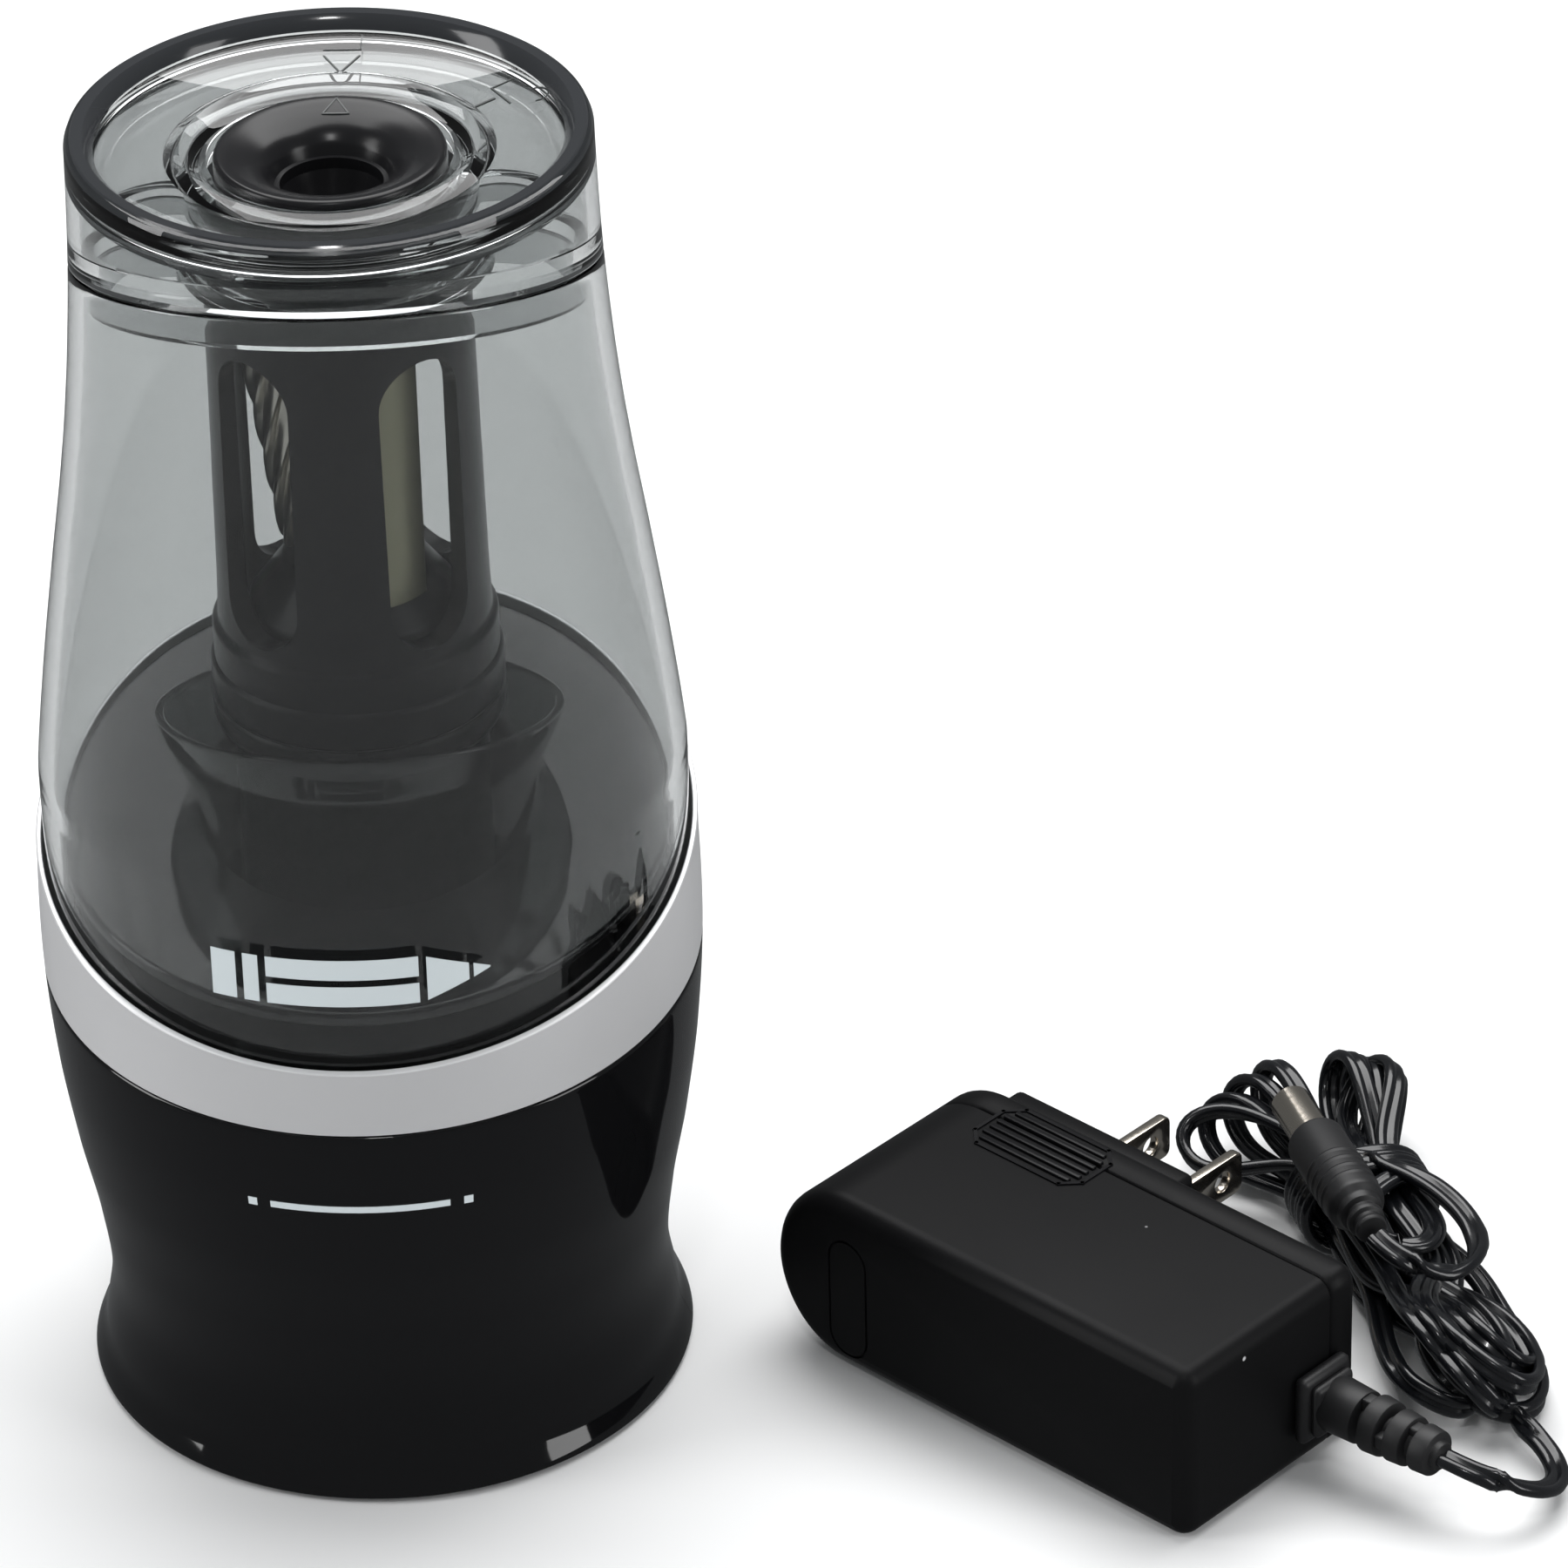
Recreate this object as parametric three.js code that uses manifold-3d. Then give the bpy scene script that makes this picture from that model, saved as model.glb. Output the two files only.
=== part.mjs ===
// Electric pencil sharpener: a round waisted base, a clear lift-off shavings container,
// a helical cutter in a fixed cage, and the wall adapter with its lead folded up.
// Millimetres, +Z up, front towards -Y, origin on the floor under the pencil hole.
import * as THREE from "three";
import { mergeVertices } from "three/addons/utils/BufferGeometryUtils.js";
import Module from "manifold-3d";

const wasm = await Module();
wasm.setup();

// ---- driving dimensions ----
const GAP = 0.3;                 // clearance between separate pieces
const ROUND = 30;                // facets round a large turned piece
const SMALL = 14;                // facets round a small turned piece
const HEIGHT = 179.7;            // top of the lid rim
const WALL = 2.0;                // container and base shell thickness
const BIG = 300;                 // side of a cutting block

// Outside radius of the whole body at a few heights, floor to rim.
const OUTLINE = [
  [40.0, 0], [38.2, 4.5], [36.8, 14], [38.0, 26], [39.9, 36], [41.6, 48],
  [42.6, 62], [42.5, 76], [41.5, 90], [39.8, 105], [37.7, 120], [35.5, 135],
  [34.0, 148], [32.9, 163], [32.4, HEIGHT],
];

// Sloping seams: height at the axis, and tilt about X (positive is higher at the back).
const BASE_SEAM = { height: 62.4, tilt: 4.6 };
const BAND_TOP = { height: 80.6, tilt: 15.8 };
const LID_SEAM = { height: 161.4, tilt: -15.0 };

const BAND_INSIDE = 41.75;       // the container passes up through this radius
const CONTAINER_MAX = 41.4;
const CONTAINER_FOOT = 66.2;
const FLOOR = { height: 82, tilt: 12, thick: 1.8, radius: 38.8 };
const COLLAR_RIM = { height: 98, tilt: -15 };

const CAGE = { foot: 59.8, web: 98, floor: 103, top: 171.5, bore: 14.2 };
const WINDOW = { low: 113.5, high: 154, width: 11.8, angle: 40 };

const MODULE = 0.8;              // tooth size in the gearbox
const CUTTER_MODULE = 0.7;       // tooth size of the ring gear and the cutter pinion
const TEETH = { ring: 36, cutter: 8, output: 36, small: 12, large: 36, motor: 10 };
const CUTTER_TILT = 8;           // lean of the cutter towards the pencil point, degrees
const CUTTER_MESH_Z = 156;       // height of the cutter pinion's middle
const CUTTER = { low: -34.2, long: 31.6, axleLow: -44.5, axleHigh: 6.3, axle: 1.2, bore: 1.5 };
const CUTTER_TURNS = 0.6;        // twist of the flutes
const MOTOR_ANGLE = -120;
const MOTOR_OFFSET = 14;
const PLATE_Z = 44.5;            // underside of the gearbox plate
const DECK_Z = 57;               // underside of the deck
const SCREW_RING = 31.3;
const FOOT_RING = 26;
const SWITCH_RING = 34;

const ADAPTER = { long: 72, deep: 34, high: 26, wall: 2, cover: 5.2, x: 104, y: -50, turn: -42 };
const BLADE = { x: -44.3, spread: 12.7, long: 17.2, wide: 6.35, thick: 1.5, z: 13 };
const HANK = { x: -14.8, y: 60.9, turn: -30, high: 13 };
const HANK_ENDS = { back: -25.5, backRadius: 14.5, front: 29.5, frontRadius: 10.5 };
const CORD_RADIUS = 1.6;

const mm = (kind, color, roughness, metalness = 0, opacity = 1) =>
  new THREE.MeshStandardMaterial({
    name: kind, color, roughness, metalness, opacity, transparent: opacity < 1,
  });
const MATERIAL = {
  clear: mm("clear", 0x8a9696, 0.08, 0, 0.4),
  smoke: mm("smoke", 0x3c4646, 0.15, 0, 0.6),
  gloss: mm("gloss", 0x060606, 0.12),
  black: mm("black", 0x101112, 0.4),
  satin: mm("satin", 0x17181a, 0.5),
  silver: mm("silver", 0xc4c5c8, 0.35, 0.6),
  steel: mm("steel", 0xa4a6a8, 0.3, 1),
  zinc: mm("zinc", 0x8f8a6c, 0.45, 0.9),
  brass: mm("brass", 0xb08a45, 0.35, 1),
  nylon: mm("nylon", 0xe6e2d6, 0.5),
  board: mm("board", 0x1d5a34, 0.6),
  rubber: mm("rubber", 0x1a1a1a, 0.9),
};

const root = new THREE.Group();
const adapter = new THREE.Group();
adapter.position.set(ADAPTER.x, ADAPTER.y, 0);
adapter.rotation.z = THREE.MathUtils.degToRad(ADAPTER.turn);
root.add(adapter);

// ---- helpers ----
const rad = THREE.MathUtils.degToRad;

// A closed three.js geometry as a solid that can be joined and cut.
function solid(geometry) {
  const plain = geometry.clone();
  plain.deleteAttribute("normal");
  plain.deleteAttribute("uv");
  const merged = mergeVertices(plain, 1e-4);
  return new wasm.Manifold(new wasm.Mesh({
    numProp: 3,
    vertProperties: new Float32Array(merged.attributes.position.array),
    triVerts: new Uint32Array(merged.index.array),
  }));
}

function piece(name, shape, material, parent = root) {
  const mesh = shape.getMesh();
  const geometry = new THREE.BufferGeometry();
  geometry.setAttribute("position", new THREE.BufferAttribute(mesh.vertProperties, 3));
  geometry.setIndex(new THREE.BufferAttribute(mesh.triVerts, 1));
  geometry.computeVertexNormals();
  const made = new THREE.Mesh(geometry, material);
  made.name = name;
  parent.add(made);
  return made;
}

// Turns a closed profile of [radius, height] corners about Z. Corners run upwards outside.
function turned(profile, facets = ROUND) {
  const points = profile.map(([r, z]) => new THREE.Vector2(r, z));
  const first = points[0];
  const last = points[points.length - 1];
  if (first.x > 0 || last.x > 0) points.push(first.clone());
  return solid(new THREE.LatheGeometry(points, facets).rotateX(Math.PI / 2));
}

function disc(radius, low, high, facets = ROUND) {
  return turned([[0, low], [radius, low], [radius, high], [0, high]], facets);
}

function tube(inner, outer, low, high, facets = ROUND) {
  return turned([[inner, low], [outer, low], [outer, high], [inner, high]], facets);
}

function post(x, y, radius, low, high, facets = SMALL) {
  return disc(radius, low, high, facets).translate([x, y, 0]);
}

function block(x0, x1, y0, y1, z0, z1) {
  const box = new THREE.BoxGeometry(x1 - x0, y1 - y0, z1 - z0);
  return solid(box.translate((x0 + x1) / 2, (y0 + y1) / 2, (z0 + z1) / 2));
}

// Everything below a sloping plane, shifted along Z.
function below(plane, shift = 0) {
  const half = new THREE.BoxGeometry(BIG, BIG, BIG).translate(0, 0, -BIG / 2);
  half.rotateX(rad(plane.tilt)).translate(0, 0, plane.height + shift);
  return solid(half);
}

function around(radius, degrees) {
  return [radius * Math.cos(rad(degrees)), radius * Math.sin(rad(degrees))];
}

// Outside radius of the body at a height, smoothed through the outline.
const outlineCurve = new THREE.SplineCurve(OUTLINE.map(([r, z]) => new THREE.Vector2(r, z)));
const outlinePoints = outlineCurve.getPoints(400);
function radiusAt(z) {
  const above = outlinePoints.findIndex((p) => p.y >= z);
  if (above < 1) return outlinePoints[z > 1 ? outlinePoints.length - 1 : 0].x;
  const [a, b] = [outlinePoints[above - 1], outlinePoints[above]];
  return a.x + ((b.x - a.x) * (z - a.y)) / (b.y - a.y);
}

// A wall that follows the outline between two heights.
function wall(low, high, steps, outside, inside) {
  const heights = Array.from({ length: steps + 1 }, (_, i) => low + ((high - low) * i) / steps);
  const outer = heights.map((z) => [outside(z), z]);
  const inner = heights.map((z) => [inside(z), z]).reverse();
  return turned([...outer, ...inner]);
}

// Gear outline with straight-sided teeth; an inner gear's teeth point inwards.
function gearShape(teeth, phase, module = MODULE, inner = false) {
  const pitch = (teeth * module) / 2;
  const side = inner ? -1 : 1;
  const tip = pitch + side * 0.6 * module;
  const foot = pitch - side * 1.1 * module;
  const step = (2 * Math.PI) / teeth;
  const points = [];
  for (let i = 0; i < teeth; i += 1) {
    const middle = phase + i * step;
    const corners = [[foot, -0.27], [tip, -0.13], [tip, 0.13], [foot, 0.27]];
    for (const [r, share] of corners) {
      const angle = middle + share * step;
      points.push(new THREE.Vector2(r * Math.cos(angle), r * Math.sin(angle)));
    }
  }
  return points;
}

function gear(teeth, phase, low, high, module = MODULE) {
  const shape = new THREE.Shape(gearShape(teeth, phase, module));
  const body = new THREE.ExtrudeGeometry(shape, { depth: high - low, bevelEnabled: false });
  return solid(body.translate(0, 0, low));
}

// ---- base ----
function baseWall() {
  const shell = wall(0.6, 72, 10, radiusAt, (z) => radiusAt(z) - WALL);
  const ledge = tube(36.5, 40.2, DECK_Z - 2.6, DECK_Z - GAP);
  const joined = shell.add(ledge).intersect(below(BASE_SEAM));
  const lip = tube(36.2, 37.6, 0.6, 1.5);
  return joined.add(lip);
}

function screwPosts(front) {
  const sides = front ? [-135, -45] : [45, 135];
  return sides.map((angle) => around(SCREW_RING, angle));
}

function baseShell(name, front) {
  const sign = front ? -1 : 1;
  const edge = 0.15;
  const half = front
    ? block(-BIG, BIG, -BIG, -edge, -1, BIG)
    : block(-BIG, BIG, edge, BIG, -1, BIG);
  let shell = baseWall().intersect(half);
  const rim = wall(4.1, 20, 2, (z) => radiusAt(z) - 0.6, () => 25).intersect(half);
  for (const [x, y] of screwPosts(front)) {
    shell = shell.add(post(x, y, 4.4, 4.1, 20).intersect(rim));
    shell = shell.subtract(post(x, y, 1.3, 0, 16));
  }
  if (!front) shell = shell.subtract(jackHole(sign));
  piece(name, shell, MATERIAL.gloss);
}

const JACK_Z = 12;
function jackHole(sign) {
  const hole = new THREE.CylinderGeometry(4.5, 4.5, 12, SMALL);
  return solid(hole.translate(0, sign * 38, 0)).translate([0, 0, JACK_Z]);
}

function bottomPlate() {
  let plate = disc(35.8, 1.8, 3.8);
  for (const angle of [-135, -45, 45, 135]) {
    const [x, y] = around(SCREW_RING, angle);
    plate = plate.subtract(post(x, y, 1.5, 0, 5));
  }
  piece("bottom_plate", plate, MATERIAL.black);
}

function bottomScrew(name, angle) {
  const [x, y] = around(SCREW_RING, angle);
  const shape = turned([[0, 0.7], [2.4, 0.7], [2.4, 1.5], [1.0, 1.5], [1.0, 14], [0, 14.6]], 12);
  piece(name, shape.translate([x, y, 0]), MATERIAL.steel);
}

function rubberFoot(name, angle) {
  const [x, y] = around(FOOT_RING, angle);
  const shape = turned([[0, 0], [4.0, 0], [4.5, 0.4], [4.5, 1.5], [0, 1.5]], SMALL);
  piece(name, shape.translate([x, y, 0]), MATERIAL.rubber);
}

function band() {
  const foot = BASE_SEAM.height - 6;
  const outside = (z) => Math.max(radiusAt(z), BAND_INSIDE + 0.7);
  const ring = wall(foot, 96, 4, outside, () => BAND_INSIDE);
  const shape = ring.intersect(below(BAND_TOP)).subtract(below(BASE_SEAM, GAP));
  piece("silver_band", shape, MATERIAL.silver);
}

// ---- gearbox and motor ----
const [MOTOR_X, MOTOR_Y] = around(MOTOR_OFFSET, MOTOR_ANGLE);
const OUTPUT_REACH = ((TEETH.output + TEETH.small) * MODULE) / 2;
const MOTOR_REACH = ((TEETH.large + TEETH.motor) * MODULE) / 2;
const IDLER_TURN = Math.acos(
  (MOTOR_OFFSET ** 2 + OUTPUT_REACH ** 2 - MOTOR_REACH ** 2) / (2 * MOTOR_OFFSET * OUTPUT_REACH),
);
const IDLER_ANGLE = rad(MOTOR_ANGLE) + IDLER_TURN;
const IDLER_X = OUTPUT_REACH * Math.cos(IDLER_ANGLE);
const IDLER_Y = OUTPUT_REACH * Math.sin(IDLER_ANGLE);
const MOTOR_TO_IDLER = Math.atan2(IDLER_Y - MOTOR_Y, IDLER_X - MOTOR_X);

function gearboxPlate() {
  let plate = disc(33, PLATE_Z, PLATE_Z + 2);
  plate = plate.subtract(disc(5.5, PLATE_Z - 1, PLATE_Z + 3, SMALL));
  plate = plate.subtract(post(MOTOR_X, MOTOR_Y, 4, PLATE_Z - 1, PLATE_Z + 3));
  plate = plate.subtract(post(IDLER_X, IDLER_Y, 1.8, PLATE_Z - 1, PLATE_Z + 3));
  piece("gearbox_plate", plate, MATERIAL.black);
}

function deck() {
  let plate = disc(38.8, DECK_Z, DECK_Z + 2.5);
  for (const angle of [30, 150, 240]) {
    const [x, y] = around(28, angle);
    plate = plate.add(post(x, y, 3, PLATE_Z + 2 + GAP, DECK_Z + 1));
  }
  const [sx, sy] = around(SWITCH_RING, 90);
  plate = plate.subtract(disc(4.5, DECK_Z - 1, DECK_Z + 3, SMALL));
  plate = plate.subtract(post(sx, sy, 2.0, DECK_Z - 1, DECK_Z + 3));
  plate = plate.subtract(post(IDLER_X, IDLER_Y, 1.8, DECK_Z - 1, DECK_Z + 1.5));
  piece("deck", plate, MATERIAL.black);
}

function motor() {
  const can = turned([
    [0, 9.3], [13.8, 9.3], [13.8, 43], [13, 43.9], [3.4, 43.9], [3.4, 46], [2.2, 46], [2.2, 42], [0, 42],
  ], 32);
  piece("motor_can", can.translate([MOTOR_X, MOTOR_Y, 0]), MATERIAL.steel);
  const cap = turned([[0, 4.8], [4, 4.8], [4, 6], [13.2, 6], [13.6, 9], [0, 9]], 32);
  piece("motor_end_cap", cap.translate([MOTOR_X, MOTOR_Y, 0]), MATERIAL.black);
  const shaft = disc(1.15, 42.5, 51.4, 12).translate([MOTOR_X, MOTOR_Y, 0]);
  piece("motor_shaft", shaft, MATERIAL.steel);
  const pinion = gear(TEETH.motor, MOTOR_TO_IDLER, 47.4, 51.4).subtract(disc(1.5, 40, 60, 12));
  piece("motor_pinion", pinion.translate([MOTOR_X, MOTOR_Y, 0]), MATERIAL.brass);
}

function idler() {
  const largePhase = MOTOR_TO_IDLER + Math.PI + Math.PI / TEETH.large;
  const smallPhase = IDLER_ANGLE + Math.PI + Math.PI / TEETH.small;
  const large = gear(TEETH.large, largePhase, 47.7, 51.2);
  const small = gear(TEETH.small, smallPhase, 50.8, 55.6);
  const shape = large.add(small).subtract(disc(1.8, 40, 60, SMALL));
  piece("idler_gear", shape.translate([IDLER_X, IDLER_Y, 0]), MATERIAL.nylon);
  const axle = disc(1.5, PLATE_Z, DECK_Z + 1.2, 12).translate([IDLER_X, IDLER_Y, 0]);
  piece("idler_axle", axle, MATERIAL.steel);
}

function driveShaft() {
  const shaft = turned([[0, 45], [2.5, 45], [2.5, 51.5], [3, 51.5], [3, 109.6], [0, 109.6]], SMALL);
  piece("drive_shaft", shaft, MATERIAL.steel);
  const wheel = gear(TEETH.output, IDLER_ANGLE, 51.8, 55.2).subtract(disc(3.35, 40, 60, SMALL));
  piece("output_gear", wheel, MATERIAL.nylon);
  piece("lower_bush", tube(2.85, 5.2, PLATE_Z, PLATE_Z + 2, SMALL), MATERIAL.brass);
  piece("upper_bush", tube(3.35, 5.0, CAGE.web, CAGE.floor, SMALL), MATERIAL.brass);
}

function electrics() {
  const jack = new THREE.CylinderGeometry(4.1, 4.1, 11, SMALL);
  const socket = new THREE.CylinderGeometry(3.1, 3.1, 9, SMALL);
  const body = solid(jack.translate(0, 30.4, 0)).add(block(-5, 5, 20.5, 27, -5, 5));
  const jackBody = body.subtract(solid(socket.translate(0, 32, 0))).translate([0, 0, JACK_Z]);
  piece("power_jack", jackBody, MATERIAL.black);
  piece("control_board", block(-14, 14, 18.4, 20, 5, 36), MATERIAL.board);
  const [x, y] = around(SWITCH_RING, 90);
  const box = block(x - 3, x + 3, y - 3, y + 3, 46.8, 52.4);
  piece("interlock_switch", box, MATERIAL.black);
  const pin = turned([[0, 53.9], [1.6, 53.9], [1.6, DECK_Z + 2.5], [0, DECK_Z + 2.5]], 12);
  piece("interlock_plunger", pin.translate([x, y, 0]), MATERIAL.nylon);
}

// ---- cage, carrier and cutter ----
function cage() {
  const outer = [
    [0, CAGE.foot], [16.2, CAGE.foot], [16.2, 96.6], [18.0, 97], [18.6, 98.5], [18.6, 100.8],
    [18.2, 101.2], [18.6, 101.6], [18.6, 106.2], [18.1, 106.7], [18.1, 111.4], [17.3, 112.2],
    [17.1, 120], [16.7, 148], [16.6, CAGE.top], [0, CAGE.top],
  ];
  let body = turned(outer);
  body = body.subtract(disc(14, CAGE.foot - 1, CAGE.web));
  body = body.subtract(disc(CAGE.bore, CAGE.floor, CAGE.top + 1));
  body = body.subtract(disc(5.3, CAGE.web - 1, CAGE.floor + 1, SMALL));
  for (const side of [-1, 1]) body = body.subtract(windowCutter(side * WINDOW.angle));
  piece("cutter_cage", body, MATERIAL.black);
}

// A round-ended slot right through the cage, square to one radius.
function windowCutter(angle) {
  const half = WINDOW.width / 2;
  const low = WINDOW.low + half;
  const high = WINDOW.high - half;
  const shape = new THREE.Shape();
  shape.absarc(0, high, half, 0, Math.PI, false);
  shape.absarc(0, low, half, Math.PI, 2 * Math.PI, false);
  const slot = new THREE.ExtrudeGeometry(shape, { depth: 60, bevelEnabled: false, curveSegments: 6 });
  slot.translate(0, 0, -30).rotateX(Math.PI / 2).rotateZ(rad(angle));
  return solid(slot);
}

const CUTTER_X = -((TEETH.ring - TEETH.cutter) * CUTTER_MODULE) / 2;
function ontoCutterAxis(shape) {
  return shape.rotate([0, -CUTTER_TILT, 0]).translate([CUTTER_X, 0, CUTTER_MESH_Z]);
}

function ringGear() {
  const outline = new THREE.Shape();
  outline.absarc(0, 0, 13.85, 0, 2 * Math.PI, false);
  const teeth = gearShape(TEETH.ring, Math.PI / TEETH.ring, CUTTER_MODULE, true);
  outline.holes.push(new THREE.Path(teeth));
  const options = { depth: 3.4, bevelEnabled: false, curveSegments: ROUND };
  const ring = new THREE.ExtrudeGeometry(outline, options).translate(0, 0, CUTTER_MESH_Z - 1.7);
  piece("ring_gear", solid(ring), MATERIAL.steel);
}

// Curved web of the carrier, a stretch of tube between two angles.
function carrierWeb(from, to, low, high) {
  const shape = new THREE.Shape();
  shape.absarc(0, 0, 11.0, rad(from), rad(to), false);
  shape.absarc(0, 0, 8.8, rad(to), rad(from), true);
  const options = { depth: high - low, bevelEnabled: false, curveSegments: 8 };
  return solid(new THREE.ExtrudeGeometry(shape, options).translate(0, 0, low));
}

function carrier() {
  const hub = turned([[0, 104], [13.4, 104], [13.4, 114], [8.6, 120.4], [0, 120.4]], 36);
  const ring = turned([[5.2, 159.2], [13.4, 159.2], [13.4, 162.6], [5.2, 162.6]], 36);
  let body = hub.add(ring);
  body = body.add(carrierWeb(-110, -30, 112, 160)).add(carrierWeb(40, 110, 112, 160));
  body = body.subtract(disc(3.35, 103, 110, SMALL));
  const axleHole = ontoCutterAxis(disc(CUTTER.bore, CUTTER.axleLow - 3, 12, SMALL));
  const conePocket = turned([[0, 117], [4.2, 121], [0, 121]], SMALL);
  body = body.subtract(axleHole).subtract(conePocket);
  piece("cutter_carrier", body, MATERIAL.zinc);
}

// Helical cutter: a fluted bar twisted along its length, with a bore for its axle.
function helicalCutter() {
  const flutes = 8;
  const length = CUTTER.long;
  const shape = new THREE.Shape();
  const corners = [];
  for (let i = 0; i < flutes; i += 1) {
    for (const [r, share] of [[3.1, 0], [3.9, 0.5], [3.9, 0.75]]) {
      const angle = ((i + share) * 2 * Math.PI) / flutes;
      corners.push(new THREE.Vector2(r * Math.cos(angle), r * Math.sin(angle)));
    }
  }
  shape.setFromPoints(corners);
  const bar = new THREE.ExtrudeGeometry(shape, { depth: length, steps: 10, bevelEnabled: false });
  twist(bar, (CUTTER_TURNS * 2 * Math.PI) / length);
  const bore = disc(CUTTER.bore, -45, 5, SMALL);
  const body = solid(bar).translate([0, 0, CUTTER.low]).subtract(bore);
  piece("helical_cutter", ontoCutterAxis(body), MATERIAL.steel);
  const pinion = gear(TEETH.cutter, Math.PI, -1.1, 1.1, CUTTER_MODULE).subtract(bore);
  piece("cutter_pinion", ontoCutterAxis(pinion), MATERIAL.steel);
  const axle = disc(CUTTER.axle, CUTTER.axleLow, CUTTER.axleHigh, 12);
  piece("cutter_axle", ontoCutterAxis(axle), MATERIAL.steel);
}

function twist(geometry, radiansPerMm) {
  const place = geometry.attributes.position;
  for (let i = 0; i < place.count; i += 1) {
    const angle = place.getZ(i) * radiansPerMm;
    const [x, y] = [place.getX(i), place.getY(i)];
    place.setX(i, x * Math.cos(angle) - y * Math.sin(angle));
    place.setY(i, x * Math.sin(angle) + y * Math.cos(angle));
  }
}

function pencilGuide() {
  const shape = turned([
    [4.2, 163.6], [6.4, 163.6], [6.4, 171.8], [14.4, 171.8], [14.4, 176.4], [12.8, 176.4], [7.6, 172.4],
    [4.2, 168.0],
  ], 20);
  piece("pencil_guide", shape, MATERIAL.satin);
}

// ---- container ----
function containerOutside(z) {
  return Math.min(radiusAt(z), CONTAINER_MAX, 40.2 + (z - CONTAINER_FOOT) * 0.6);
}

function containerInside(z) {
  return Math.min(radiusAt(z), CONTAINER_MAX) - WALL;
}

const LUG_ANGLES = [30, 150, 270];
function lug(angle, grow) {
  const [low, high] = [60.8 - grow, CONTAINER_FOOT + 1.5];
  const shape = block(36 - grow, 38.9 + grow, -4 - grow, 4 + grow, low, high);
  return shape.rotate([0, 0, angle]);
}

function receptacle() {
  let body = wall(CONTAINER_FOOT, 176, 11, containerOutside, containerInside);
  body = body.intersect(below(LID_SEAM)).add(tube(37.6, 39.9, CONTAINER_FOOT, CONTAINER_FOOT + 1.8));
  for (const angle of LUG_ANGLES) body = body.add(lug(angle, 0));
  piece("receptacle", body, MATERIAL.clear);
}

function lockRing() {
  let ring = tube(33, 39.7, DECK_Z + 2.8, 65.8);
  for (const angle of LUG_ANGLES) ring = ring.subtract(lug(angle, 0.4));
  piece("lock_ring", ring, MATERIAL.smoke);
}

// Outside of the flared collar round the cage foot, from its neck to above its rim.
const COLLAR_OUTSIDE = [[20.4, 73], [20.4, 79], [21.6, 86], [23.6, 92], [26.0, 98], [27.6, 108]];

function receptacleFloor() {
  const slab = below(FLOOR, FLOOR.thick).subtract(below(FLOOR));
  const hole = COLLAR_OUTSIDE.map(([r, z]) => [r + GAP, z]);
  const cut = turned([[0, 60], [hole[0][0], 60], ...hole, [0, 108]]);
  piece("receptacle_floor", slab.intersect(disc(FLOOR.radius, 60, 110)).subtract(cut), MATERIAL.gloss);
}

function shavingsCollar() {
  const inside = [[26.3, 108], [24.7, 98.4], [22.4, 92.6], [20.3, 86.4], [19.1, 79.4], [19.1, 73]];
  const shape = turned([...COLLAR_OUTSIDE, ...inside]);
  piece("shavings_collar", shape.intersect(below(COLLAR_RIM)), MATERIAL.smoke);
}

function lid() {
  const shell = turned([
    ...[146, 152, 158, 164, 170, 175].map((z) => [radiusAt(z), z]),
    [32.4, 179.0], [31.8, HEIGHT], [30.0, HEIGHT], [29.2, 178.8], [28.8, 177.6], [20.4, 176.2],
    [19.2, 177.0], [17.6, 177.0], [16.6, 176.0], [15.1, 175.8], [15.1, 174.0], [17.0, 173.6], [17.0, 162.0],
    [19.4, 162.0], [19.4, 164.6], [18.4, 165.2], [18.4, 174.4], [28.6, 175.4], [30.4, 174.6],
    [radiusAt(164) - WALL, 164], [radiusAt(155) - WALL, 155], [radiusAt(146) - WALL, 146],
  ]);
  const upper = shell.subtract(below(LID_SEAM, GAP));
  const spigot = wall(144, 176, 3, (z) => radiusAt(z) - WALL - GAP, (z) => radiusAt(z) - WALL - 1.6);
  const skirt = spigot.intersect(below(LID_SEAM, 3)).subtract(below(LID_SEAM, -5));
  const bridge = wall(144, 176, 3, (z) => radiusAt(z) - 1, (z) => radiusAt(z) - WALL - 1.6);
  const link = bridge.intersect(below(LID_SEAM, 3)).subtract(below(LID_SEAM, GAP));
  piece("lid", upper.add(skirt).add(link), MATERIAL.clear);
}

// ---- wall adapter, in its own frame: X along it, Y away from the front, Z up ----
function adapterOutline(inset) {
  const { long, high } = ADAPTER;
  const nose = 12;
  const corner = 1.6;
  const shape = new THREE.Shape();
  shape.moveTo(-corner - inset, inset);
  shape.lineTo(-inset, corner + inset);
  shape.lineTo(-inset, high - corner - inset);
  shape.lineTo(-corner - inset, high - inset);
  shape.lineTo(-long + nose + inset, high - inset);
  shape.absellipse(-long + nose + inset, high / 2, nose, high / 2 - inset, Math.PI / 2, 1.5 * Math.PI);
  return shape;
}

function adapterBlock(inset, from, to) {
  const options = { depth: to - from, bevelEnabled: false, curveSegments: 12 };
  const body = new THREE.ExtrudeGeometry(adapterOutline(inset), options);
  return solid(body.rotateX(Math.PI / 2).translate(0, to, 0));
}

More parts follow.
